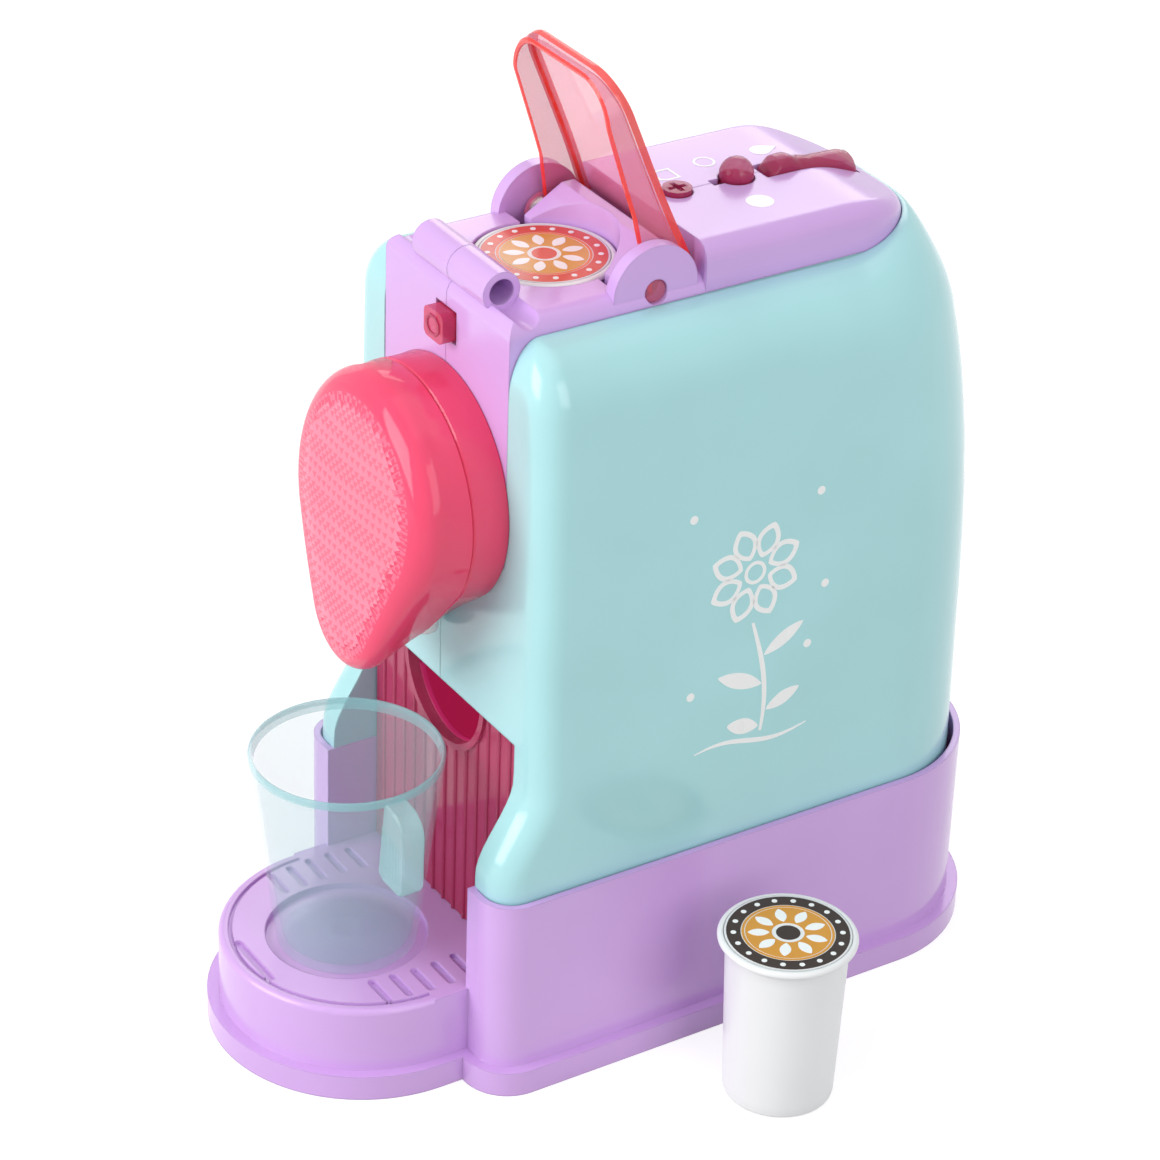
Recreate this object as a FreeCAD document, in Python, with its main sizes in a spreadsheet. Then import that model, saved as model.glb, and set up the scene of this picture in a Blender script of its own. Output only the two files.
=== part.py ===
import FreeCAD, Part
import math
import os
import Sketcher

# Toy capsule coffee maker. Millimetres, +Z up, front towards -Y, origin on the floor under the body's middle.

doc = FreeCAD.newDocument("toy_coffee_maker")
sheet = doc.addObject("Spreadsheet::Sheet", "sizes")

SIZES = {
    "wall": 2.0,
    "fit_gap": 0.3,
    "plate_gap": 0.2,
    # base
    "flange_half": 60.0,
    "flange_high": 7.8,
    "flange_step": 3.5,
    "base_front": -74.5,
    "base_rear": 110.0,
    "front_round": 14.0,
    "rear_round": 42.0,
    "collar_top": 61.9,
    "tray_round": 45.1,
    "tray_centre": -81.6,
    "tray_top": 28.3,
    "tray_rim": 3.4,
    "tray_groove": 0.9,
    "recess_round": 23.4,
    "recess_deep": 1.7,
    "slot_wide": 2.4,
    "slot_deep": 1.2,
    "slot_long": 12.0,
    "slot_pitch": 6.6,
    "slot_near": 27.5,
    "niche_half": 40.0,
    "panel_plane": -55.0,
    "shelf_rear": -12.0,
    # mint covers
    "cover_front": -57.0,
    "cover_rear": 102.6,
    "cover_low": 52.0,
    "cover_top": 224.7,
    "cover_half_low": 54.1,
    "cover_half_top": 50.2,
    "cover_edge_round": 9.0,
    "cover_front_round": 10.0,
    "cover_rear_round": 36.0,
    "head_low": 104.7,
    "foot_front": -68.7,
    "foot_toe": 70.0,
    "foot_heel": 90.0,
    "crown_rise": 5.0,
    "crown_start": 64.0,
    "crown_end": 82.0,
    # lilac centre shell
    "shell_half": 32.5,
    "shell_low": 147.0,
    "deck_top": 229.7,
    "deck_round": 5.0,
    "top_front": 4.0,
    "top_deck": 238.7,
    "top_rear": 80.0,
    "top_rear_round": 24.0,
    "top_rear_drop": 7.5,
    "top_drop_start": 60.0,
    "top_edge_round": 5.0,
    "roll_round": 5.7,
    "roll_bore": 3.7,
    "roll_half": 18.6,
    "roll_centre": -51.3,
    "shell_skirt": 215.0,
    "boss_across": 22.0,
    "roll_up": 232.0,
    # lid
    "pin_place": -11.3,
    "pin_up": 228.4,
    "pin_round": 3.4,
    "pin_clear": 0.1,
    "ear_round": 13.3,
    "ear_outer": 31.6,
    "ear_thick": 4.2,
    "lid_reach": 58.2,
    "lid_high": 15.4,
    "lid_wall": 1.8,
    "lid_tip_half": 12.0,
    "lid_mid_half": 21.6,
    "lid_root_half": 26.6,
    "lid_tip_deep": 4.5,
    "lid_mid_deep": 8.0,
    "lid_root_deep": 13.0,
    "lid_lug": 5.6,
    "lid_open": 67.1,
    # capsule and its holder
    "capsule_place": -26.7,
    "capsule_rim": 19.8,
    "capsule_high": 53.0,
    "capsule_body": 17.5,
    "capsule_foot": 15.8,
    "capsule_wall": 1.0,
    "capsule_lip": 2.2,
    "seal_round": 17.9,
    "seal_thick": 0.5,
    "holder_half": 22.2,
    "holder_low": 180.0,
    "holder_back": -3.6,
    "holder_peak": 237.6,
    "loose_across": 91.6,
    "loose_along": 2.2,
    # brew head
    "head_round": 35.0,
    "head_centre": 170.0,
    "spout_round": 12.0,
    "spout_centre": 132.0,
    "ring_deep": 11.0,
    "head_deep": 29.0,
    "head_crown": 190.0,
    "head_edge": 5.0,
    # front panel and bin
    "rib_pitch": 5.8,
    "rib_round": 0.7,
    "notch_round": 20.0,
    "notch_centre": 105.0,
    "notch_rim": 2.0,
    "bin_rear": -14.0,
    "bin_half": 38.0,
    "bin_top": 98.0,
    # cup
    "cup_place": -87.0,
    "cup_rim": 27.97,
    "cup_foot": 20.2,
    "cup_high": 63.4,
    "cup_wall": 1.5,
    "tab_thick": 7.0,
    # controls
    "cross_place": 15.5,
    "cross_round": 4.2,
    "ball_place": 35.0,
    "ball_round": 4.9,
    "rocker_place": 58.5,
    "rocker_long": 30.0,
    "rocker_wide": 7.8,
    "front_press": 2.0,
    "button_wide": 10.0,
    "button_high": 9.0,
    "button_out": 4.0,
    "button_up": 216.5,
    "button_clear": 0.35,
    # inside
    "cell_round": 7.0,
    "cell_long": 49.0,
    "cell_pitch": 15.5,
    "cell_place": 30.0,
    "speaker_round": 20.0,
    "screw_round": 1.5,
    "board_thick": 1.6,
    "board_back": 6.0,
    "bracket_up": 211.0,
    "board_up": 213.4,
    "rocker_pin_up": 231.0,
    "door_half": 26.0,
    "cells_top": 20.5,
    "speaker_place": -36.0,
    "base_boss": 50.0,
    "cover_boss": 96.4,
    "cover_boss_round": 4.6,
    "crown_bend": 24.0,
    "back_bend": 50.0,
    "back_low_bend": 200.0,
    "lid_edge_round": 0.9,
    "button_round": 2.2,
    "head_boss_round": 3.4,
}

for line, (alias, number) in enumerate(SIZES.items(), start=1):
    sheet.set(f"A{line}", alias)
    sheet.set(f"B{line}", str(number))
    sheet.setAlias(f"B{line}", alias)
doc.recompute()

AXES = {"X": FreeCAD.Vector(1, 0, 0), "Y": FreeCAD.Vector(0, 1, 0), "Z": FreeCAD.Vector(0, 0, 1)}
ALONG = {
    "X": FreeCAD.Rotation(FreeCAD.Vector(0, 1, 0), 90),
    "Y": FreeCAD.Rotation(FreeCAD.Vector(1, 0, 0), -90),
    "Z": FreeCAD.Rotation(),
}
SKETCH_TURN = {
    "XY": FreeCAD.Rotation(),
    "XZ": FreeCAD.Rotation(AXES["X"], AXES["Z"], -AXES["Y"], "XYZ"),
    "YZ": FreeCAD.Rotation(AXES["Y"], AXES["Z"], AXES["X"], "XYZ"),
}
pieces = []


def size(name):
    """The number that the sheet holds under an alias."""
    return float(sheet.get(name))


def word(formula):
    """A formula as the sheet's expressions want it: every alias named as a cell of the sheet."""
    text = str(formula)
    out, token = "", ""
    for letter in text + " ":
        if letter.isalpha() or letter == "_" or (token and letter.isdigit()):
            token += letter
            continue
        if token:
            out += f"sizes.{token}" if token in SIZES else token
            token = ""
        out += letter
    return out.strip()


def bind(thing, **formulas):
    """Ties properties of an object to formulas of sheet cells; x, y and z place it."""
    for key, formula in formulas.items():
        target = f"Placement.Base.{key}" if key in ("x", "y", "z") else key
        thing.setExpression(target, word(formula))


def box(name, low, high):
    """A block between two corners given as formulas."""
    made = doc.addObject("Part::Box", name)
    bind(made, x=low[0], y=low[1], z=low[2])
    for key, start, end in zip(("Length", "Width", "Height"), low, high):
        bind(made, **{key: f"({end})-({start})"})
    return made


def rod(name, axis, place, round_, long_):
    """A cylinder that starts at a place and runs along an axis."""
    made = doc.addObject("Part::Cylinder", name)
    made.Placement = FreeCAD.Placement(FreeCAD.Vector(), ALONG[axis])
    bind(made, x=place[0], y=place[1], z=place[2], Radius=round_, Height=long_)
    return made


def cone(name, place, low_round, high_round, long_):
    made = doc.addObject("Part::Cone", name)
    bind(made, x=place[0], y=place[1], z=place[2], Radius1=low_round, Radius2=high_round, Height=long_)
    return made


def ball(name, place, round_):
    made = doc.addObject("Part::Sphere", name)
    bind(made, x=place[0], y=place[1], z=place[2], Radius=round_)
    return made


def fuse(name, *parts):
    made = doc.addObject("Part::MultiFuse", name)
    made.Shapes = list(parts)
    made.Refine = True
    return made


def common(name, *parts):
    made = doc.addObject("Part::MultiCommon", name)
    made.Shapes = list(parts)
    made.Refine = True
    return made


def cut(name, base, *tools):
    """Base less its tools."""
    tool = tools[0]
    if len(tools) > 1:
        tool = doc.addObject("Part::Compound", name + "_tools")
        tool.Links = list(tools)
    made = doc.addObject("Part::Cut", name)
    made.Base = base
    made.Tool = tool
    made.Refine = True
    return made


def extrude(name, plane, corners, start, long_):
    """A closed outline of corner formulas on a main plane, moved to start and drawn out along its normal."""
    outline = doc.addObject("Sketcher::SketchObject", name + "_outline")
    outline.Placement = FreeCAD.Placement(FreeCAD.Vector(), SKETCH_TURN[plane])
    count = len(corners)
    rough = [FreeCAD.Vector(math.cos(2 * math.pi * i / count), math.sin(2 * math.pi * i / count), 0) * 100
             for i in range(count)]
    for i in range(count):
        outline.addGeometry(Part.LineSegment(rough[i], rough[(i + 1) % count]), False)
    for i in range(count):
        outline.addConstraint(Sketcher.Constraint("Coincident", i, 2, (i + 1) % count, 1))
    for i, corner in enumerate(corners):
        for kind, formula, now in zip(("DistanceX", "DistanceY"), corner, (rough[i].x, rough[i].y)):
            number = outline.addConstraint(Sketcher.Constraint(kind, -1, 1, i, 1, now))
            outline.setExpression(f"Constraints[{number}]", word(formula))
    shift = {"XY": "z", "XZ": "y", "YZ": "x"}[plane]
    bind(outline, **{shift: start})
    made = doc.addObject("Part::Extrusion", name)
    made.Base = outline
    made.DirMode = "Custom"
    made.Dir = AXES[{"XY": "Z", "XZ": "Y", "YZ": "X"}[plane]]
    made.Solid = True
    bind(made, LengthFwd=long_)
    return made


def round_edges(name, base, pick, radius):
    """Rounds the edges of a shape that a test picks; the radius comes from the sheet."""
    doc.recompute()
    edges = [number for number, edge in enumerate(base.Shape.Edges, start=1) if pick(edge)]
    made = doc.addObject("Part::Fillet", name)
    made.Base = base
    made.Edges = [(number, radius, radius) for number in edges]
    return made


def runs(edge, axis):
    """Whether an edge is a straight one along an axis."""
    if edge.Curve.TypeId != "Part::GeomLine":
        return False
    return abs(edge.tangentAt(edge.FirstParameter).dot(AXES[axis])) > 0.999


def near(one, other):
    return abs(one - other) < 0.05


def piece(label, *solids):
    """Names a sub-part. It keeps its place, and its label names its file."""
    made = solids[0] if len(solids) == 1 else None
    if made is None:
        made = doc.addObject("Part::Compound", label + "_set")
        made.Links = list(solids)
    made.Label = label
    pieces.append(made)
    return made


def rounded_block(name, half, front, rear, low, high, front_round, rear_round):
    """An upright block, symmetric about the middle plane, with its four corners rounded."""
    block = box(name + "_block", (f"-({half})", front, low), (half, rear, high))
    doc.recompute()
    middle = (block.Shape.BoundBox.YMin + block.Shape.BoundBox.YMax) / 2
    made = doc.addObject("Part::Fillet", name)
    made.Base = block
    made.Edges = [
        (number, *([front_round, front_round] if edge.CenterOfMass.y < middle else [rear_round, rear_round]))
        for number, edge in enumerate(block.Shape.Edges, start=1) if runs(edge, "Z")
    ]
    return made


def base_shape(name, inset, low, tray_high, collar_high):
    """Tray and collar together, drawn in by an inset, up to the heights given."""
    step = size("flange_step") + inset
    collar = rounded_block(
        name + "_collar", f"flange_half-flange_step-{inset}", f"base_front+flange_step+{inset}",
        f"base_rear-flange_step-{inset}", low, collar_high,
        max(size("front_round") - step, 0.5), max(size("rear_round") - step, 0.5),
    )
    nose = rod(name + "_nose", "Z", ("0", "tray_centre", low), f"tray_round-flange_step-{inset}",
               f"({tray_high})-({low})")
    bridge = box(name + "_bridge", (f"-(tray_round-flange_step-{inset})", "tray_centre", low),
                 (f"tray_round-flange_step-{inset}", "panel_plane+2*wall", tray_high))
    return collar, nose, bridge


def make_base():
    flange = rounded_block("flange", "flange_half", "base_front", "base_rear", "0", "flange_high",
                           size("front_round"), size("rear_round"))
    flange_nose = rod("flange_nose", "Z", ("0", "tray_centre", "0"), "tray_round", "flange_high")
    flange_bridge = box("flange_bridge", ("-tray_round", "tray_centre", "0"),
                        ("tray_round", "panel_plane", "flange_high"))
    collar, nose, bridge = base_shape("outer_base", 0, "0", "tray_top", "collar_top")
    collar_round = round_edges(
        "nose_soft", nose, lambda edge: near(edge.CenterOfMass.z, size("tray_top")) and not runs(edge, "Z"), 1.6)
    niche = box("niche", ("-niche_half", "base_front-wall", "tray_top"), ("niche_half", "panel_plane", "collar_top+1"))
    doorway = box("doorway", ("-niche_half", "panel_plane-1", "tray_top"),
                  ("niche_half", "shelf_rear", "collar_top+1"))
    outer = cut("base_outer", fuse("base_whole", flange, flange_nose, flange_bridge, collar_round, bridge,
                                   collar), niche)

    wall = size("wall")
    in_collar, in_nose, in_bridge = base_shape("inner_base", wall, "-1", "tray_top-wall-recess_deep",
                                               "collar_top+1")
    niche_wall = box("niche_wall", ("-(niche_half+wall)", "base_front-wall", "tray_top-wall-recess_deep"),
                     ("niche_half+wall", "shelf_rear", "collar_top+2"))
    in_body = cut("in_body", in_collar, niche_wall)
    hollow = fuse("base_hollow", in_nose, in_bridge, in_body)
    recess = rod("recess", "Z", ("0", "cup_place", "tray_top-recess_deep"), "recess_round", "recess_deep+1")
    groove_out = rod("groove_out", "Z", ("0", "tray_centre", "tray_top-tray_groove"),
                     "tray_round-flange_step-tray_rim+0.6", "tray_groove+1")
    groove_in = rod("groove_in", "Z", ("0", "tray_centre", "tray_top-tray_groove-1"),
                    "tray_round-flange_step-tray_rim-0.6", "tray_groove+3")
    groove_half = box("groove_half", ("-tray_round", "tray_centre-tray_round", "tray_top-tray_groove-1"),
                      ("tray_round", "tray_centre", "tray_top+1"))
    groove = common("groove", cut("groove_ring", groove_out, groove_in), groove_half)
    slots = [slot("slot_front", "0", "cup_place-recess_round-6.5", "slot_long*1.6")]
    for row in range(5):
        for side in (-1, 1):
            along = f"cup_place+recess_round-3-slot_pitch*{row}"
            slots.append(slot(f"slot_{row}_{'left' if side < 0 else 'right'}",
                              f"{side}*(slot_near+slot_long/2-2-0.55*abs({row}-1.5))", along, "slot_long-3"))
    shell = cut("base_cutout", outer, hollow, doorway, recess, groove, *slots)
    rails = []
    for side in (-1, 1):
        for along in ("-30", "20", "70"):
            name = f"rail_{'left' if side < 0 else 'right'}_{along.replace('-', 'f')}"
            inner = "flange_half-flange_step-wall-4"
            outer_edge = "flange_half-flange_step-wall+0.5"
            low, high = (f"-({outer_edge})", f"-({inner})") if side < 0 else (inner, outer_edge)
            rails.append(box(name, (low, along, "cover_low-4"), (high, f"{along}+4", "cover_low-fit_gap")))
    bosses = [rod(f"base_boss_{side}_{along.replace('-', 'f')}", "Z", (f"{sign}base_boss", along, "0.1+wall"), "4.7",
                  "25.8") for side, sign in (("left", "-"), ("right", "")) for along in ("-40", "40")]
    pilots = [rod(f"base_pilot_{side}_{along.replace('-', 'f')}", "Z", (f"{sign}base_boss", along, "wall"),
                  "screw_round", "13") for side, sign in (("left", "-"), ("right", "")) for along in ("-40", "40")]
    return piece("base_housing", cut("base_drilled", fuse("base_joined", shell, *rails, *bosses), *pilots))


def slot(name, across, along, long_):
    """A shallow groove in the tray with round ends, running across the tray."""
    middle = box(name + "_middle", (f"{across}-({long_})/2", f"{along}-slot_wide/2", "tray_top-slot_deep"),
                 (f"{across}+({long_})/2", f"{along}+slot_wide/2", "tray_top+1"))
    ends = [rod(f"{name}_end_{sign}", "Z", (f"{across}+({word_sign(sign)}({long_})/2)", along,
                                            "tray_top-slot_deep"), "slot_wide/2", "slot_deep+1")
            for sign in ("low", "high")]
    return fuse(name, middle, *ends)


def word_sign(sign):
    return "-" if sign == "low" else "+"


def leaning_block(name, sign, inset, front, rear, low, high, front_round, rear_round):
    """An upright block with rounded corners whose outer side leans in towards the top, for one side."""
    block = rounded_block(name, f"cover_half_low-{inset}", front, rear, low, high, front_round, rear_round)
    lean = math.atan2(size("cover_half_low") - size("cover_half_top"), size("cover_top") - size("cover_low"))
    foot = FreeCAD.Vector(sign * (size("cover_half_low") - inset), 0, size("cover_low"))
    turn = FreeCAD.Rotation(AXES["Y"], -sign * math.degrees(lean))
    block.Placement = FreeCAD.Placement(foot - turn.multVec(foot), turn)
    return block


def side_outline(name, inset):
    """The covers seen from the side: flat front and top, a crown behind the deck and a leaning back."""
    corners = [
        (f"cover_front+{inset}", "foot_heel-4"),
        (f"cover_front+{inset}", f"cover_top-{inset}"),
        ("crown_start", f"cover_top-{inset}"),
        ("crown_end-7", f"cover_top+crown_rise-{inset}"),
        (f"crown_end+3-{inset}", f"cover_top+crown_rise-{inset}"),
        (f"cover_rear-4.6-{inset}", "cover_top-37"),
        (f"cover_rear-{inset}", "cover_top-98"),
        (f"cover_rear-{inset}", "cover_low"),
        (f"cover_front+{inset}+20", "cover_low"),
        (f"cover_front+{inset}+20", "foot_heel-4"),
    ]
    plain = extrude(name + "_plain", "YZ", corners, "-flange_half", "2*flange_half")
    doc.recompute()
    radii = {
        (size("cover_front") + inset, size("cover_top") - inset): size("cover_front_round") - inset,
        (size("crown_start"), size("cover_top") - inset): size("crown_bend"),
        (size("crown_end") - 7, size("cover_top") + size("crown_rise") - inset): 3.0,
        (size("crown_end") + 3 - inset, size("cover_top") + size("crown_rise") - inset): 12.0 - inset,
        (size("cover_rear") - 4.6 - inset, size("cover_top") - 37): size("back_bend"),
        (size("cover_rear") - inset, size("cover_top") - 98): size("back_low_bend"),
    }
    made = doc.addObject("Part::Fillet", name)
    made.Base = plain
    made.Edges = [
        (number, radius, radius)
        for number, edge in enumerate(plain.Shape.Edges, start=1) if runs(edge, "X")
        for place, radius in radii.items()
        if near(edge.CenterOfMass.y, place[0]) and near(edge.CenterOfMass.z, place[1])
    ]
    return made


def cover_solid(name, sign, inset):
    """One side's cover as a solid that passes the middle plane a little, drawn in by an inset."""
    side = side_outline(name + "_side", inset)
    plan = leaning_block(name + "_plan", sign, inset, f"cover_front+{inset}", f"cover_rear-{inset}", "cover_low-9",
                         "cover_top+crown_rise+9", size("cover_front_round") - inset,
                         size("cover_rear_round") - inset)
    start, end = ("-flange_half", "1") if sign < 0 else ("-1", "flange_half")
    half = box(name + "_half", (start, "base_front-10", f"cover_low-{3 if inset else 0}"),
               (end, "base_rear+10", "cover_top+30"))
    upper = common(name + "_upper_sharp", side, plan, half)
    upper = round_edges(name + "_upper", upper, lambda edge: cover_edge(edge, sign, inset),
                        size("cover_edge_round") - inset)
    foot_side = extrude(name + "_foot_side", "YZ",
                        [(f"foot_front+{inset}", f"cover_low-{3 if inset else 0}"),
                         (f"foot_front+{inset}", f"foot_toe-{inset}"),
                         (f"cover_front-3+{inset}", f"foot_heel-5-{inset}"),
                         (f"cover_front+{inset}", f"foot_heel+6-{inset}"), ("cover_front+25", f"foot_heel+6-{inset}"),
                         ("cover_front+25", f"cover_low-{3 if inset else 0}")], "-flange_half", "2*flange_half")
    foot_plan = leaning_block(name + "_foot_plan", sign, inset, f"foot_front+{inset}", "cover_front+40",
                              "cover_low-9", "foot_heel+20", size("cover_front_round") - inset, 1.0)
    foot = common(name + "_foot", foot_side, foot_plan, half_space(name + "_foot_half", start, end))
    return fuse(name, upper, foot)


def half_space(name, start, end):
    """A block that holds all of the covers between two planes across the part."""
    return box(name, (start, "base_front-10", "0"), (end, "base_rear+10", "cover_top+30"))


def cover_edge(edge, sign, inset):
    """The edges where a cover's side meets its top, from the front corner to the leaning back."""
    middle = edge.CenterOfMass
    if sign * middle.x < size("cover_half_top") - inset - 12:
        return False
    if middle.z < size("cover_top") - inset - 40 or edge.BoundBox.XMax - edge.BoundBox.XMin > 9:
        return False
    return edge.BoundBox.ZMax - edge.BoundBox.ZMin < 45 and middle.z > size("cover_top") - inset - 0.3


def make_covers():
    wall = size("wall")
    for label, sign, low, high in (("side_cover_left", -1, "-flange_half-5", "-plate_gap/4"),
                                   ("side_cover_right", 1, "plate_gap/4", "flange_half+5")):
        outer = cover_solid(label + "_outer", sign, 0)
        inner = cover_solid(label + "_inner", sign, wall)
        niche_keep = box(label + "_niche_keep", ("-(niche_half+wall)", "foot_front-5", "cover_low-6"),
                         ("niche_half+wall", "cover_front+wall", "head_low"))
        hollow = cut(label + "_hollow", inner, niche_keep)
        niche = box(label + "_niche", ("-(niche_half+fit_gap)", "foot_front-5", "cover_low-3"),
                    ("niche_half+fit_gap", "panel_plane", "head_low"))
        behind = box(label + "_behind", ("-(niche_half+fit_gap)", "panel_plane-1", "cover_low-3"),
                     ("niche_half+fit_gap", "cover_front+30", "head_low"))
        seat_block = rounded_block(label + "_seat", "shell_half+plate_gap", "cover_front-5", "top_rear+plate_gap",
                                   "cover_top-12", "cover_top+20", 1.0, size("top_rear_round"))
        front_seat = box(label + "_front_seat", ("-(shell_half+plate_gap)", "cover_front-5", "shell_low-plate_gap"),
                         ("shell_half+plate_gap", "cover_front+wall+1", "cover_top-11"))
        foot_step = box(label + "_foot_step", ("-(niche_half+wall+fit_gap)", "foot_front-5", "cover_low-3"),
                        ("niche_half+wall+fit_gap", "shelf_rear", "collar_top+0.1"))
        bosses = [rod(f"{label}_boss_{name}", "X", ("-10", "cover_boss", up), "cover_boss_round", "20")
                  for name, up in (("low", "80"), ("middle", "120"))]
        pilots = [rod(f"{label}_pilot_{name}", "X", ("-10.5", "cover_boss", up), "screw_round-0.1", "21")
                  for name, up in (("low", "80"), ("middle", "120"))]
        half = box(label + "_half", (low, "base_front-10", "0"), (high, "base_rear+10", "cover_top+30"))
        shell = cut(label + "_shell", fuse(label + "_with_bosses", cut(label + "_hollowed", outer, hollow), *bosses),
                    niche, behind, seat_block, front_seat, foot_step, *pilots)
        piece(label, common(label + "_common", shell, half))


def make_centre_shell():
    wall = size("wall")
    deck = box("deck_block", ("-shell_half", "cover_front", "shell_skirt"), ("shell_half", "top_front+wall", "deck_top"))
    deck_soft = round_edges("deck_soft", deck, deck_edge, size("deck_round"))
    top = top_solid("top_outer", 0)
    panel = box("shell_panel", ("-shell_half", "cover_front", "shell_low"),
                ("shell_half", "cover_front+wall", "shell_skirt+1"))
    deck_in = box("deck_in", ("-(shell_half-wall)", "cover_front+wall", "shell_skirt-1"),
                  ("shell_half-wall", "top_front+wall+1", "deck_top-wall"))
    top_in = top_solid("top_inner", wall)
    keels = [box(f"keel_{side}", (low, "cover_front+wall-0.5", "deck_top-7"),
                 (high, "roll_centre+roll_round", "deck_top-wall+0.5"))
             for side, low, high in (("left", "-(shell_half-wall+0.5)", "-(roll_half-0.6)"),
                                     ("right", "roll_half-0.6", "shell_half-wall+0.5"))]
    roll = rod("roll", "X", ("-roll_half", "roll_centre", "roll_up"), "roll_round", "2*roll_half")
    ears = [rod(f"ear_{side}", "X", (start, "pin_place", "pin_up"), "ear_round", "ear_thick")
            for side, start in (("left", "-ear_outer"), ("right", "ear_outer-ear_thick"))]
    bosses = [rod(f"deck_boss_{across}_{along}", "Z", (f"{sign}*boss_across", along, "bracket_up+wall+0.1"), "3.2",
                  "top_deck-wall+0.5-bracket_up-wall-0.1")
              for across, sign in (("left", "-1"), ("right", "1")) for along in ("14", "54")]
    studs = [rod(f"panel_stud_{across}", "Y", (f"{sign}*11", "cover_front+wall-0.5", "button_up-8"), "2.4",
                 "board_back+0.4")
             for across, sign in (("left", "-1"), ("right", "1"))]
    solid = fuse("shell_solid", cut("shell_hollowed", fuse("shell_whole", deck_soft, top, panel), deck_in, top_in),
                 *keels, roll, *ears, *bosses, *studs)

    bore = rod("roll_bore_cut", "X", ("-roll_half-1", "roll_centre", "roll_up"), "roll_bore", "2*roll_half+2")
    scoops = [rod(f"scoop_{side}", "X", (start, "roll_centre+0.8", "roll_up-1"), "roll_bore+0.5", "15")
              for side, start in (("left", "-roll_half-15"), ("right", "roll_half"))]
    pin_holes = rod("pin_holes", "X", ("-flange_half", "pin_place", "pin_up"), "pin_round+pin_clear", "2*flange_half")
    arm_room = box("arm_room", ("-(ear_outer-ear_thick)", "capsule_place+4.5", "shell_skirt-2"),
                   ("ear_outer-ear_thick", "top_front", "top_deck+9"))
    mouth = rod("capsule_mouth", "Z", ("0", "capsule_place", "deck_top-wall-1"), "capsule_rim+0.5", "wall+11")
    button_hole = box("button_hole", ("-(button_wide/2+button_clear)", "cover_front-1",
                                      "button_up-button_high/2-button_clear"),
                      ("button_wide/2+button_clear", "cover_front+wall+1", "button_up+button_high/2+button_clear"))
    cross_hole = rod("cross_hole", "Z", ("0", "cross_place", "top_deck-wall-2"), "cross_round+button_clear", "wall+4")
    ball_hole = rod("ball_hole", "Z", ("0", "ball_place", "top_deck-wall-2"), "ball_round+button_clear", "wall+4")
    ball_notch = box("ball_notch", ("-1.7", "ball_place-ball_round-3.4", "top_deck-wall-2"),
                     ("1.7", "ball_place", "top_deck+2"))
    rocker_slot = box("rocker_slot", ("-(rocker_wide/2+button_clear)", "rocker_place-rocker_long/2-0.9",
                                      "top_deck-top_rear_drop-wall-6"),
                      ("rocker_wide/2+button_clear", "rocker_place+rocker_long/2+0.9", "top_deck+2"))
    pilots = [rod(f"pilot_{across}_{along}", "Z", (f"{sign}*boss_across", along, "bracket_up+wall"),
                  "screw_round-0.2", "9")
              for across, sign in (("left", "-1"), ("right", "1")) for along in ("14", "54")]
    shell = cut("shell_shell", solid, bore, *scoops, pin_holes, arm_room, mouth, button_hole, cross_hole, ball_hole,
                ball_notch, rocker_slot, *pilots)
    for label, low, high in (("centre_shell_left", "-flange_half", "-plate_gap/4"),
                             ("centre_shell_right", "plate_gap/4", "flange_half")):
        half = box(label + "_half", (low, "base_front-10", "0"), (high, "base_rear+10", "cover_top+50"))
        piece(label, common(label + "_common", shell, half))


def deck_edge(edge):
    """The top side edges and the front top edge of the capsule deck."""
    middle = edge.CenterOfMass
    if not near(middle.z, size("deck_top")):
        return False
    return runs(edge, "Y") or near(middle.y, size("cover_front"))


def top_solid(name, inset):
    """The raised rear deck that holds the controls, drawn in by an inset."""
    low = "shell_skirt" if inset == 0 else "shell_skirt-1"
    corners = [
        (f"top_front+{inset}", low),
        (f"top_front+{inset}", f"top_deck-{inset}"),
        ("top_drop_start", f"top_deck-{inset}"),
        (f"top_rear-{inset}", f"top_deck-top_rear_drop-{inset}"),
        (f"top_rear-{inset}", low),
    ]
    side = extrude(name + "_side", "YZ", corners, "-flange_half", "2*flange_half")
    side_soft = round_edges(
        name + "_side_soft", side,
        lambda edge: runs(edge, "X") and near(edge.CenterOfMass.y, size("top_drop_start")), 40.0)
    plan = rounded_block(name + "_plan", f"shell_half-{inset}", f"top_front-1+{inset}", f"top_rear-{inset}",
                         "shell_skirt-3", "top_deck+1", 0.5, size("top_rear_round") - inset)
    both = common(name + "_both", side_soft, plan)
    if inset:
        return both
    return round_edges(name, both, top_edge, size("top_edge_round"))


def top_edge(edge):
    """The edges around the rear deck's upper face, apart from its front one."""
    box_ = edge.BoundBox
    low = size("top_deck") - size("top_rear_drop") - 0.1
    if box_.ZMin < low:
        return False
    return not (runs(edge, "X") and near(edge.CenterOfMass.y, size("top_front"))) and not crosses(edge)


def crosses(edge):
    """Whether an edge spans the deck from side to side at a place where two faces meet smoothly."""
    return runs(edge, "X") and edge.CenterOfMass.y < size("top_rear") - 1


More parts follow.
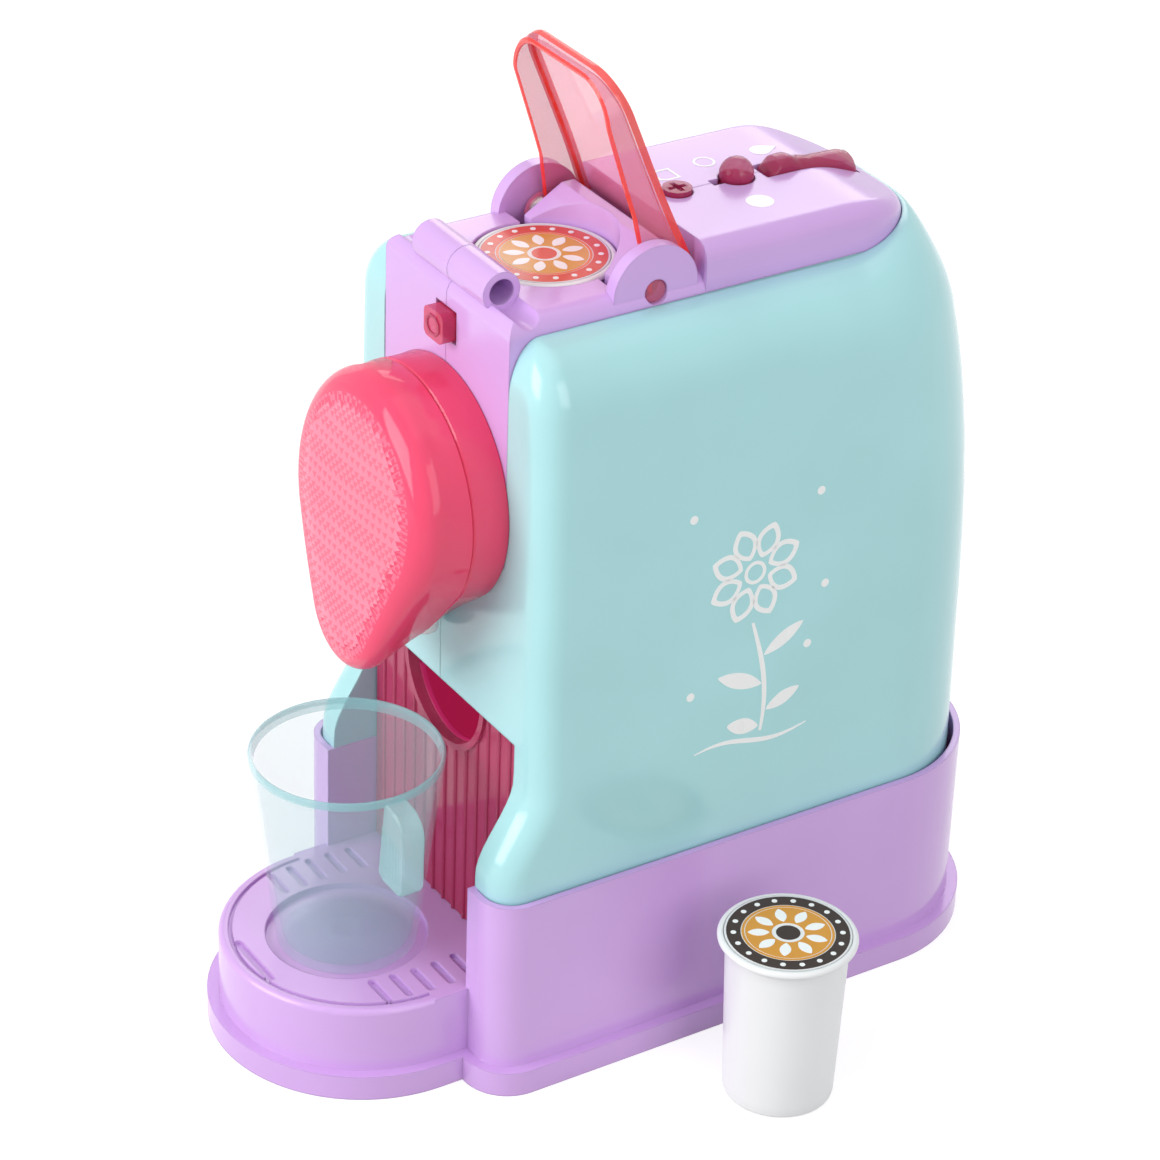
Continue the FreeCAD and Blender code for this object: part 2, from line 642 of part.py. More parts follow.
def make_holder():
    tube = rod("holder_tube", "Z", ("0", "capsule_place", "holder_low"), "capsule_body+0.5+wall",
               "deck_top-wall-fit_gap-holder_low")
    block = extrude("holder_block", "YZ",
                    [("capsule_place+7.3", "deck_top-wall-12"), ("capsule_place+7.3", "deck_top+0.6"),
                     ("holder_back-4", "holder_peak"), ("holder_back", "holder_peak"),
                     ("holder_back", "deck_top-wall-12")], "-holder_half", "2*holder_half")
    flange_disc = rod("holder_flange", "Z", ("0", "capsule_place", "deck_top-wall-fit_gap-2"), "27", "2")
    flange_half_ = box("holder_front", ("-flange_half", "roll_centre+roll_round+0.5", "deck_top-10"),
                       ("flange_half", "capsule_place+6", "deck_top"))
    body = fuse("holder_body", tube, block, common("holder_wing", flange_disc, flange_half_))
    throat = rod("holder_throat", "Z", ("0", "capsule_place", "holder_low-1"), "capsule_body+0.5", "80")
    seat = rod("holder_seat", "Z", ("0", "capsule_place", "deck_top-capsule_lip-fit_gap"), "capsule_rim+0.4", "20")
    piece("capsule_holder", cut("capsule_holder_cut", body, throat, seat))
    chute = rod("chute_out", "Z", ("0", "capsule_place", "bin_top+0.5"), "capsule_body+4", "holder_low-bin_top-0.8")
    chute_in = rod("chute_in", "Z", ("0", "capsule_place", "bin_top"), "capsule_body+2.4", "holder_low-bin_top+1")
    piece("capsule_chute", cut("capsule_chute_cut", chute, chute_in))


def make_lid():
    tip, root = "-lid_reach", "1.0"
    mid = "-(lid_reach-19)"
    edge = [("lid_tip_half", tip), ("lid_mid_half-1.2", "-(lid_reach-12)"), ("lid_mid_half+0.4", mid),
            ("lid_root_half-1.6", "-16"), ("lid_root_half", "-1"), ("lid_root_half", "lid_lug+2")]
    inner = [("lid_tip_half-lid_wall*0.6", f"{tip}+lid_wall"), ("lid_mid_half-1.2-lid_wall", "-(lid_reach-12.7)"),
             ("lid_mid_half+0.4-lid_wall", mid), ("lid_root_half-1.6-lid_wall", "-16"),
             ("lid_root_half-lid_wall", "-1"), ("lid_root_half-lid_wall", "lid_lug+3")]
    plan = extrude("lid_plan", "XY", mirrored(edge), "-lid_lug-1", "lid_high+lid_lug+1")
    side = extrude("lid_side", "YZ",
                   [(tip, "lid_high"), (tip, "lid_high-lid_tip_deep"), (mid, "lid_high-lid_mid_deep"),
                    ("-14", "lid_high-lid_root_deep+0.2"), ("-lid_lug", "0"), (root, "0"), (root, "lid_high")],
                   "-flange_half", "2*flange_half")
    plain = common("lid_plain", plan, side)
    soft = round_edges("lid_soft", plain, lid_edge, size("lid_edge_round"))
    room = extrude("lid_room", "XY", mirrored(inner), "-lid_lug-2", "lid_high+lid_lug+2-lid_wall")
    lugs = [rod(f"lid_lug_{side_}", "X", (start, "0", "0"), "lid_lug", "lid_wall")
            for side_, start in (("left", "-lid_root_half"), ("right", "lid_root_half-lid_wall"))]
    pins = [rod(f"lid_pin_{side_}", "X", (start, "0", "0"), "pin_round", "ear_outer-lid_root_half+lid_wall-0.3")
            for side_, start in (("left", "-(ear_outer-0.3)"), ("right", "lid_root_half-lid_wall"))]
    lid = fuse("lid_fuse", cut("lid_cut", soft, room), *lugs, *pins)
    lid.Placement = FreeCAD.Placement(FreeCAD.Vector(), FreeCAD.Rotation(AXES["X"], -size("lid_open")))
    bind(lid, y="pin_place", z="pin_up")
    piece("lid", lid)


def mirrored(edge):
    """A half outline joined to its mirror image."""
    return edge + [(f"-({across})", along) for across, along in reversed(edge)]


def lid_edge(edge):
    """The outer edges of the lid's top face."""
    box_ = edge.BoundBox
    return near(box_.ZMin, size("lid_high")) and near(box_.ZMax, size("lid_high")) and box_.YMin < 0.5


def capsule(label, across, along, low):
    """A thin cup with a rolled lip, and the seal that closes it."""
    body = cone(label + "_body", (across, along, low), "capsule_foot", "capsule_body", "capsule_high-capsule_lip/2")
    lip = rod(label + "_lip", "Z", (across, along, f"{low}+capsule_high-capsule_lip"), "capsule_rim", "capsule_lip")
    lip_soft = round_edges(label + "_lip_soft", lip, lambda edge: not runs(edge, "Z"), size("capsule_lip") * 0.4)
    room = cone(label + "_room", (across, along, f"{low}+capsule_wall"), "capsule_foot-capsule_wall",
                "capsule_body-capsule_wall", "capsule_high-capsule_wall+0.1")
    seat = rod(label + "_seat", "Z", (across, along, f"{low}+capsule_high-seal_thick-0.1"), "seal_round+0.2", "2")
    piece(label + "_cup", cut(label + "_shell", fuse(label + "_fuse", body, lip_soft), room, seat))
    piece(label + "_seal", rod(label + "_seal_disc", "Z", (across, along, f"{low}+capsule_high-seal_thick"),
                               "seal_round", "seal_thick"))


def hull(name, inset, start, long_):
    """The brew head's outline, a round top that narrows to a small round chin, drawn out along the depth."""
    lean = "((head_round-spout_round)/(head_centre-spout_centre))"
    fall = f"sqrt(1-{lean}^2)"
    big, small = f"(head_round-{inset})", f"(spout_round-{inset})"
    top = rod(name + "_top", "Y", ("0", start, "head_centre"), big, long_)
    chin = rod(name + "_chin", "Y", ("0", start, "spout_centre"), small, long_)
    half = [(f"{big}*{fall}", f"head_centre-{big}*{lean}"), (f"{small}*{fall}", f"spout_centre-{small}*{lean}")]
    flanks = extrude(name + "_flanks", "XZ", mirrored(half), start, long_)
    return fuse(name, top, chin, flanks)


def make_brew_head():
    ring_front = "cover_front-ring_deep"
    ring_out = hull("ring_out", "0", ring_front, "ring_deep-0.1")
    ring_in = hull("ring_in", "wall", f"{ring_front}-1", "ring_deep+2")
    bosses, pilots, screws = [], [], []
    for name, across, up in (("upper_left", "-0.7*head_round", "head_centre+0.486*head_round"),
                             ("upper_right", "0.7*head_round", "head_centre+0.486*head_round"),
                             ("lower_left", "-(spout_round+2.6)", "spout_centre+8"),
                             ("lower_right", "spout_round+2.6", "spout_centre+8")):
        bosses.append(rod(f"boss_{name}", "Y", (across, ring_front, up), "head_boss_round", "ring_deep-0.1"))
        pilots.append(rod(f"boss_hole_{name}", "Y", (across, f"{ring_front}-1", up), "screw_round", "ring_deep+2"))
        screws.append(rod(f"head_screw_{name}", "Y", (across, f"{ring_front}+0.5", up), "screw_round-0.1",
                          "ring_deep-1"))
    rim_in = hull("rim_in", "wall", f"{ring_front}-1", "ring_deep+2")
    web = common("ring_bosses", fuse("boss_set", *bosses), rim_in)
    piece("brew_head_ring", cut("brew_head_ring_cut", fuse("ring_joined", cut("ring_wall", ring_out, ring_in), web),
                                *pilots))
    piece("head_screws", *screws)

    face_start = "cover_front-head_deep-6"
    crown = ball("crown", ("0", "cover_front-head_deep-2.5+head_crown", "head_centre-12"), "head_crown")
    block = hull("cover_block", "0", face_start, "head_deep+6-ring_deep-0.2")
    domed = common("cover_domed", block, crown)
    soft = round_edges("cover_soft", domed, lambda edge: edge.BoundBox.YMax < size("cover_front") - 20,
                       size("head_edge"))
    crown_in = ball("crown_in", ("0", "cover_front-head_deep-2.5+head_crown", "head_centre-12"), "head_crown-wall")
    block_in = hull("cover_room", "wall", face_start, "head_deep+6-ring_deep+1")
    room = common("cover_inside", block_in, crown_in)
    room_soft = round_edges("cover_inside_soft", room, lambda edge: edge.BoundBox.YMax < size("cover_front") - 18,
                            size("head_edge") - 1.5)
    piece("brew_head_cover", cut("brew_head_cover_cut", soft, room_soft))
    tube = rod("nozzle_tube", "Z",
               ("0", "cover_front-6", "spout_centre-sqrt((spout_round-wall)^2-4.4^2)+fit_gap"), "4.4", "22")
    tube_in = rod("nozzle_bore", "Z", ("0", "cover_front-6", "spout_centre-spout_round"), "2.6", "30")
    piece("nozzle", cut("nozzle_cut", tube, tube_in))
    piece("lamp", fuse("lamp_fuse", rod("lamp_body", "Y", ("0", "cover_front-7", "head_centre"), "2.5", "6.9"),
                       rod("lamp_foot", "Y", ("0", "cover_front-1.1", "head_centre"), "3.1", "1"),
                       ball("lamp_nose", ("0", "cover_front-7", "head_centre"), "2.5")))


def make_front_panel():
    plate = box("panel_plate", ("-(niche_half-0.4)", "panel_plane+0.1", "tray_top+fit_gap"),
                ("niche_half-0.4", "panel_plane+0.1+wall", "head_low+1.5"))
    count = int((2 * size("niche_half") - 4) // size("rib_pitch"))
    ribs = [rod(f"rib_{number}", "Z", (f"rib_pitch*({number}-{(count - 1) / 2})", "panel_plane+0.1",
                                       "tray_top+fit_gap"), "rib_round", "head_low-tray_top-2*fit_gap")
            for number in range(count)]
    rim_disc = rod("notch_rim_disc", "Y", ("0", "panel_plane-1.1", "notch_centre"), "notch_round+notch_rim", "wall+1")
    rim_low = box("notch_rim_low", ("-flange_half", "panel_plane-3", "tray_top"),
                  ("flange_half", "panel_plane+5", "head_low-fit_gap"))
    notch = rod("notch", "Y", ("0", "panel_plane-5", "notch_centre"), "notch_round", "12")
    piece("ribbed_panel", cut("ribbed_panel_cut", fuse("panel_joined", plate, *ribs,
                                                       common("notch_rim_part", rim_disc, rim_low)), notch))
    outer = box("bin_out", ("-bin_half", "panel_plane+0.3+wall", "tray_top+fit_gap"), ("bin_half", "bin_rear", "bin_top"))
    inner = box("bin_in", ("-(bin_half-1.6)", "panel_plane+1.9+wall", "tray_top+fit_gap+1.6"),
                ("bin_half-1.6", "bin_rear-1.6", "bin_top+1"))
    window = rod("bin_notch", "Y", ("0", "panel_plane-5", "notch_centre"), "notch_round", "12")
    piece("capsule_bin", cut("capsule_bin_cut", outer, inner, window))


def make_cup():
    low = "tray_top-recess_deep+0.1"
    body = cone("cup_body", ("0", "cup_place", low), "cup_foot", "cup_rim", "cup_high")
    tab = extrude("cup_tab", "XZ",
                  [("cup_foot", f"{low}+20"), ("cup_rim+5", f"{low}+17"), ("cup_rim+9.5", f"{low}+22"),
                   ("cup_rim+10", f"{low}+40"), ("cup_rim+7", f"{low}+52"), ("cup_rim+2", f"{low}+60"),
                   ("cup_rim-2", f"{low}+62.5"), ("cup_foot", f"{low}+62.5")],
                  "cup_place-tab_thick/2", "tab_thick")
    tab_soft = round_edges("cup_tab_soft", tab, lambda edge: runs(edge, "Y") and edge.CenterOfMass.x
                           > size("cup_rim") + 3, 3.0)
    room = cone("cup_room", ("0", "cup_place", f"{low}+wall"), "cup_foot-cup_wall",
                "cup_rim-cup_wall", "cup_high-wall+0.02")
    piece("cup", cut("cup_cut", fuse("cup_fuse", body, tab_soft), room))


def make_controls():
    foot = "board_up+board_thick+4.4"
    cross = fuse("cross_fuse",
                 rod("cross_cap", "Z", ("0", "cross_place", "top_deck-wall-2.2"), "cross_round", "wall+3.6"),
                 rod("cross_stop", "Z", ("0", "cross_place", "top_deck-wall-2.2"), "cross_round+1.4", "1.9"),
                 rod("cross_stem", "Z", ("0", "cross_place", foot), "2.4", f"top_deck-wall-2-({foot})"))
    arms = [box("cross_arm_x", ("-2.9", "cross_place-0.8", "top_deck+0.2"), ("2.9", "cross_place+0.8", "top_deck+3")),
            box("cross_arm_y", ("-0.8", "cross_place-2.9", "top_deck+0.2"), ("0.8", "cross_place+2.9", "top_deck+3"))]
    piece("cross_button", cut("cross_cut", cross, *arms))
    piece("ball_button", fuse("ball_fuse", ball("ball_cap", ("0", "ball_place", "top_deck+1.2"), "ball_round"),
                              rod("ball_stop", "Z", ("0", "ball_place", "top_deck-wall-2.7"), "ball_round+1.2", "2.3"),
                              rod("ball_stem", "Z", ("0", "ball_place", foot), "2.4", f"top_deck-3-({foot})")))
    half = "rocker_long/2"
    wave = [(f"rocker_place-{half}", "rocker_pin_up-4"), (f"rocker_place-{half}", "top_deck+1.6"),
            (f"rocker_place-{half}+2.5", "top_deck+5.2"), (f"rocker_place-{half}+6", "top_deck+5.4"),
            ("rocker_place-3.5", "top_deck+1.6"), ("rocker_place+3", "top_deck+0.6"),
            ("rocker_place+9", "top_deck+1.7"), (f"rocker_place+{half}-3", "top_deck+3.2"),
            (f"rocker_place+{half}-0.4", "top_deck+1.8"), (f"rocker_place+{half}", "top_deck-2"),
            (f"rocker_place+{half}", "rocker_pin_up-4")]
    body = extrude("rocker_body", "YZ", wave, "-rocker_wide/2", "rocker_wide")
    pivot = rod("rocker_bore", "X", ("-rocker_wide", "rocker_place", "rocker_pin_up"), "1.35", "2*rocker_wide")
    piece("rocker", cut("rocker_cut", body, pivot))
    piece("rocker_pin", rod("rocker_pin_rod", "X", ("-(rocker_wide/2+3)", "rocker_place", "rocker_pin_up"), "1.3",
                            "rocker_wide+6"))
    block = box("button_block", ("-button_wide/2", "cover_front-button_out", "button_up-button_high/2"),
                ("button_wide/2", "cover_front+wall+1", "button_up+button_high/2"))
    soft = round_edges("button_soft", block, lambda edge: runs(edge, "Y"), size("button_round"))
    stop = box("button_stop", ("-(button_wide/2+1.5)", "cover_front+wall+fit_gap", "button_up-button_high/2-1.5"),
               ("button_wide/2+1.5", "cover_front+wall+1.8", "button_up+button_high/2+1.5"))
    piece("front_button", fuse("button_fuse", soft, stop))

    plate = box("bracket_plate", ("-(shell_half-wall-1)", "top_front+wall+1", "bracket_up"),
                ("shell_half-wall-1", "top_rear-wall-20", "bracket_up+wall"))
    posts = [box(f"pivot_post_{side}", (low, "rocker_place-2.6", "bracket_up+wall-0.5"),
                 (high, "rocker_place+2.6", "rocker_pin_up+2.6"))
             for side, low, high in (("left", "-(rocker_wide/2+2.9)", "-(rocker_wide/2+0.7)"),
                                     ("right", "rocker_wide/2+0.7", "rocker_wide/2+2.9"))]
    pin_room = rod("pivot_hole", "X", ("-20", "rocker_place", "rocker_pin_up"), "1.33", "40")
    holes = [rod(f"bracket_hole_{side}_{along}", "Z", (f"{sign}*boss_across", along, "bracket_up-1"),
                 "screw_round+0.2", "wall+2") for side, sign in (("left", "-1"), ("right", "1"))
             for along in ("14", "54")]
    piece("control_bracket", cut("bracket_cut", fuse("bracket_fuse", plate, *posts), pin_room, *holes))
    piece("bracket_screws", *[
        fuse(f"bracket_screw_{side}_{along}",
             rod(f"screw_head_{side}_{along}", "Z", (f"{sign}*boss_across", along, "bracket_up-1.7"), "2.6", "1.6"),
             rod(f"screw_body_{side}_{along}", "Z", (f"{sign}*boss_across", along, "bracket_up-1"),
                 "screw_round-0.3", "9"))
        for side, sign in (("left", "-1"), ("right", "1")) for along in ("14", "54")])
    board = box("board_plate", ("-18", "top_front+wall+2", "board_up"), ("18", "top_rear-wall-21", "board_up+board_thick"))
    window = box("board_window", ("-(rocker_wide/2+4)", "rocker_place-4", "board_up-1"),
                 ("rocker_wide/2+4", "rocker_place+4", "board_up+3"))
    piece("control_board", cut("board_cut", board, window))
    piece("key_switches", *[rod(f"switch_{name}", "Z", ("0", along, "board_up+board_thick+0.1"), "3", "2.5")
                            for name, along in (("cross", "cross_place"), ("ball", "ball_place"),
                                                ("rocker", "rocker_place-10"))])
    piece("front_board", box("front_board_plate", ("-14", "cover_front+wall+board_back", "button_up-11"),
                             ("14", "cover_front+wall+board_back+board_thick", "deck_top-9")))
    piece("front_switch", box("front_switch_block", ("-3", "cover_front+wall+1.8+front_press+fit_gap", "button_up-3"),
                              ("3", "cover_front+wall+board_back-0.1", "button_up+3")))


def make_inside():
    low = "0"
    body = rounded_block("plate_body", "flange_half-flange_step-wall-0.3", "base_front+flange_step+wall+0.3",
                         "base_rear-flange_step-wall-0.3", low, "wall",
                         size("front_round") - size("flange_step") - size("wall") - 0.3,
                         size("rear_round") - size("flange_step") - size("wall") - 0.3)
    nose = rod("plate_nose", "Z", ("0", "tray_centre", low), "tray_round-flange_step-wall-0.3", "wall")
    neck = box("plate_neck", ("-(tray_round-flange_step-wall-0.3)", "tray_centre", low),
               ("tray_round-flange_step-wall-0.3", "panel_plane", "wall"))
    door_gap = box("door_gap", ("-door_half-fit_gap", "cell_place-18-fit_gap", "-1"),
                   ("door_half+fit_gap", "cell_place+42+fit_gap", "5"))
    sound = [rod(f"sound_hole_{number}", "Z",
                 (str(round(11 * math.cos(number * math.pi / 3), 3)),
                  f"speaker_place+{round(11 * math.sin(number * math.pi / 3), 3)}", "-1"), "1.6", "5")
             for number in range(6)]
    boss_places = [(f"{sign}{name}", sign, name_across, along) for sign in ("-", "")
                   for name, name_across, along in (("front", "base_boss", "-40"), ("rear", "base_boss", "40"))]
    holes = [rod(f"plate_hole_{'left' if sign else 'right'}_{along.replace('-', 'f')}", "Z",
                 (f"{sign}{across}", along, "-1"), "screw_round+0.2", "5")
             for _, sign, across, along in boss_places]
    piece("base_plate", cut("base_plate_cut", fuse("plate_fuse", body, nose, neck), door_gap, *sound, *holes))
    piece("base_screws", *[
        fuse(f"base_screw_{'left' if sign else 'right'}_{along.replace('-', 'f')}",
             rod(f"base_screw_head_{'left' if sign else 'right'}_{along.replace('-', 'f')}", "Z",
                 (f"{sign}{across}", along, "0.1"), "1.65", "0.8"),
             rod(f"base_screw_body_{'left' if sign else 'right'}_{along.replace('-', 'f')}", "Z",
                 (f"{sign}{across}", along, "0.5"), "screw_round-0.1", "12"))
        for _, sign, across, along in boss_places])
    piece("battery_door", box("battery_door_plate", ("-door_half", "cell_place-18", low),
                              ("door_half", "cell_place+42", "wall")))
    tray_out = box("cells_out", ("-door_half", "cell_place-16", "0.1+wall"), ("door_half", "cell_place+40", "cells_top"))
    tray_in = box("cells_in", ("-(door_half-1.5)", "cell_place-14.5", "0"), ("door_half-1.5", "cell_place+38.5",
                                                                            "cells_top-1.5"))
    piece("battery_tray", cut("battery_tray_cut", tray_out, tray_in))
    middle = "cell_place+12"
    piece("battery_cells", *[rod(f"cell_{number}", "Y", (f"cell_pitch*({number}-1)", f"{middle}-cell_long/2",
                                                         "0.4+wall+cell_round"), "cell_round", "cell_long")
                             for number in range(3)])
    piece("battery_contacts", *[
        box(f"contact_{end}_{number}", (f"cell_pitch*({number}-1)-5", f"{middle}{sign}(cell_long/2+{near_end})",
                                        "1.2+wall"),
            (f"cell_pitch*({number}-1)+5", f"{middle}{sign}(cell_long/2+{far_end})", "1.2+wall+10"))
        for number in range(3) for end, sign, near_end, far_end in (("front", "-", "0.9", "0.2"),
                                                                    ("rear", "+", "0.2", "0.9"))])
    piece("main_board", box("main_board_plate", ("-24", "cell_place-14", "cells_top+fit_gap"),
                            ("24", "cell_place+38", "cells_top+fit_gap+board_thick")))
    piece("loudspeaker", fuse("speaker_fuse",
                              rod("speaker_frame", "Z", ("0", "speaker_place", "0.3+wall"), "speaker_round", "3"),
                              cone("speaker_basket", ("0", "speaker_place", "3.2+wall"), "speaker_round-1",
                                   "speaker_round/2", "5"),
                              rod("speaker_magnet", "Z", ("0", "speaker_place", "7.2+wall"), "speaker_round/2", "4")))
    piece("cover_screws", *[rod(f"cover_screw_{name}", "X", ("-9", "cover_boss", up), "screw_round-0.2", "18")
                            for name, up in (("low", "80"), ("middle", "120"))])


def save():
    """Checks every object and sub-part, then writes the files."""
    doc.recompute()
    faults = [thing.Name for thing in doc.Objects if "Invalid" in thing.State or "Error" in thing.State]
    for made in pieces:
        if made.Shape.isNull() or not made.Shape.isValid() or not made.Shape.Solids:
            faults.append(made.Label)
    if faults:
        raise RuntimeError("not sound: " + ", ".join(faults))
    os.makedirs("parts", exist_ok=True)
    for made in pieces:
        made.Shape.exportStep(f"parts/{made.Label}.step")
        print(f"{made.Label}: {len(made.Shape.Solids)} solids, {made.Shape.Volume / 1000:.2f} cm3")


make_base()
make_covers()
make_centre_shell()
make_holder()
make_lid()
capsule("seated_capsule", "0", "capsule_place", "deck_top-capsule_high")
capsule("loose_capsule", "loose_across", "loose_along", "0")
make_brew_head()
make_front_panel()
make_cup()
make_controls()
make_inside()
save()
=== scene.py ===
import functools
from math import asin, ceil, cos, dist, floor, pi, radians, sin, sqrt

import bmesh
import bpy
from mathutils import Matrix, Vector, geometry


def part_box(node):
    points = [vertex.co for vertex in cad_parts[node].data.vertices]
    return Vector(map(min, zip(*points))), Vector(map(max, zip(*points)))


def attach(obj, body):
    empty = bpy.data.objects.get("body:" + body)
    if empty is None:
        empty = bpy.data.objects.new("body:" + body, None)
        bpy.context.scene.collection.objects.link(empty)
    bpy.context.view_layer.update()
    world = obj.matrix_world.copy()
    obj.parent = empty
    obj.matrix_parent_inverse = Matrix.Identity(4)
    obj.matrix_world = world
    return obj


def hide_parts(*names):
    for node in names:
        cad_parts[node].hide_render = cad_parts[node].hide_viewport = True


# Toy capsule coffee maker. Metres, +Z up, front towards -Y. MM turns millimetres into metres.

MM = 0.001
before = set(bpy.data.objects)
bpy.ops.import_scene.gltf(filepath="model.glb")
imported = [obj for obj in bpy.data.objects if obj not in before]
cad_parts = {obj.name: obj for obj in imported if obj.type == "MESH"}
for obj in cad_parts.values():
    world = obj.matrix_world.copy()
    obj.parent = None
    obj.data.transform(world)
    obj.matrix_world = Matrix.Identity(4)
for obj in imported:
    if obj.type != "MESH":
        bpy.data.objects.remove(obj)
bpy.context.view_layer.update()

CAMERA_PLACE = (0.802765, -0.535072, 0.688039)
CAMERA_AIM = (-0.721654, 0.470765, -0.507538)
CAMERA_ROLL_DEG = 2.10
CAMERA_LENS_MM = 121.5

WHITE = (1.0, 1.0, 1.0, 1.0)
SIDES = (("left", -1), ("right", 1))


def srgb(text):
    """A colour as written on screen, turned into linear light."""
    values = [int(text[start:start + 2], 16) / 255 for start in (1, 3, 5)]
    return tuple(v / 12.92 if v <= 0.04045 else ((v + 0.055) / 1.055) ** 2.4 for v in values)


# materials


def filled(node, **values):
    """A shader node with inputs set by name."""
    for key, value in values.items():
        node.inputs[key.replace("_", " ")].default_value = value
    return node


class Maker:
    """A material's node tree, with short calls for what the materials share."""

    def __init__(self, name):
        self.material = bpy.data.materials.new(name)
        self.material.use_nodes = True
        self.nodes = self.material.node_tree.nodes
        self.links = self.material.node_tree.links
        self.shader = self.nodes["Principled BSDF"]
        self.place = self.nodes.new("ShaderNodeTexCoord").outputs["Object"]

    def noise(self, scale, detail=2.0):
        """Soft noise that is fixed to the piece."""
        made = filled(self.nodes.new("ShaderNodeTexNoise"), Scale=scale, Detail=detail)
        self.links.new(self.place, made.inputs["Vector"])
        return made.outputs["Fac"]

    def gloss(self, factor, low, high):
        """Roughness from low to high, spread along the middle of a factor's range."""
        made = filled(self.nodes.new("ShaderNodeMapRange"), From_Min=0.3, From_Max=0.7,
                      To_Min=low, To_Max=high)
        self.links.new(factor, made.inputs["Value"])
        self.links.new(made.outputs["Result"], self.shader.inputs["Roughness"])

    def shades(self, factor, *colours):
        """Colours spread along a factor."""
        made = self.nodes.new("ShaderNodeValToRGB")
        elements = made.color_ramp.elements
        while len(elements) < len(colours):
            elements.new(0.5)
        for number, (element, colour) in enumerate(zip(elements, colours)):
            element.position = 0.3 + 0.4 * number / (len(colours) - 1)
            element.color = (*colour, 1.0)
        self.links.new(factor, made.inputs["Fac"])
        self.links.new(made.outputs["Color"], self.shader.inputs["Base Color"])

    def tint(self, colour, uneven, scale):
        """A colour that is a little lighter or darker in places. Returns it as linear light."""
        base = srgb(colour)
        self.shades(self.noise(scale), shade(base, 1 - uneven), base, shade(base, 1 + uneven))
        return base

    def relief(self, factor, strength, depth, soften=0.0):
        """Bump from a factor; soften rounds the look of sharp edges by that many metres."""
        bump = filled(self.nodes.new("ShaderNodeBump"), Strength=strength, Distance=depth)
        self.links.new(factor, bump.inputs["Height"])
        if soften:
            edge = filled(self.nodes.new("ShaderNodeBevel"), Radius=soften)
            edge.samples = 4
            self.links.new(edge.outputs["Normal"], bump.inputs["Normal"])
        self.links.new(bump.outputs["Normal"], self.shader.inputs["Normal"])

    def flow_marks(self, colour, uneven, smooth, rough):
        """What clear plastics share: faint marks of their flow in colour, gloss and relief."""
        self.tint(colour, uneven, 30.0)
        self.gloss(self.noise(80.0), smooth, rough)
        self.relief(self.noise(260.0, 1.0), 0.05, 0.08 * MM)


def shade(colour, factor):
    """A colour made lighter or darker."""
    return tuple(min(1.0, value * factor) for value in colour)


def moulded(name, colour, roughness=0.2, soften=0.7 * MM, uneven=0.03, glow=0.0):
    """Glossy moulded plastic: slightly uneven in colour and gloss, with the faint orange peel of its mould.
    glow is painted light: the plastic emits its own colour at that strength, in place of the light that a
    thin wall lets through."""
    made = Maker(name)
    base = made.tint(colour, uneven, 22.0)
    made.gloss(made.noise(60.0), roughness - 0.04, roughness + 0.05)
    made.relief(made.noise(420.0, 1.0), 0.06, 0.08 * MM, soften)
    filled(made.shader, IOR=1.5, Coat_Weight=0.15, Coat_Roughness=0.08)
    # Painted glow: an emission in the plastic's own colour.
    if glow:
        filled(made.shader, Emission_Color=(*base, 1.0), Emission_Strength=glow)
    return made.material


def clear(name, colour):
    """Solid clear plastic, which bends the light."""
    made = Maker(name)
    made.flow_marks(colour, 0.05, 0.05, 0.09)
    filled(made.shader, IOR=1.45, Transmission_Weight=0.85)
    return made.material


def see_through(name, colour, cover, roughness=0.03, uneven=0.03):
    """Thin clear plastic. cover is the part of what lies behind that each of its surfaces hides."""
    made = Maker(name)
    made.flow_marks(colour, uneven, roughness, roughness + 0.03)
    filled(made.shader, IOR=1.45, Alpha=cover)
    return made.material


def brushed(name):
    """Plain steel with fine marks."""
    made = Maker(name)
    made.shades(made.noise(900.0), srgb("#8E8F93"), srgb("#B9BABD"))
    made.gloss(made.noise(500.0), 0.25, 0.4)
    made.relief(made.noise(1500.0), 0.1, 0.05 * MM)
    filled(made.shader, Metallic=1.0)
    return made.material


def board_green(name):
    """A circuit board's lacquer, with lighter tracks under it."""
    made = Maker(name)
    made.shades(made.noise(240.0, 0.0), srgb("#0F4A2A"), srgb("#17613A"), srgb("#0F4A2A"))
    made.gloss(made.noise(300.0), 0.25, 0.4)
    made.relief(made.noise(400.0), 0.2, 0.05 * MM)
    return made.material


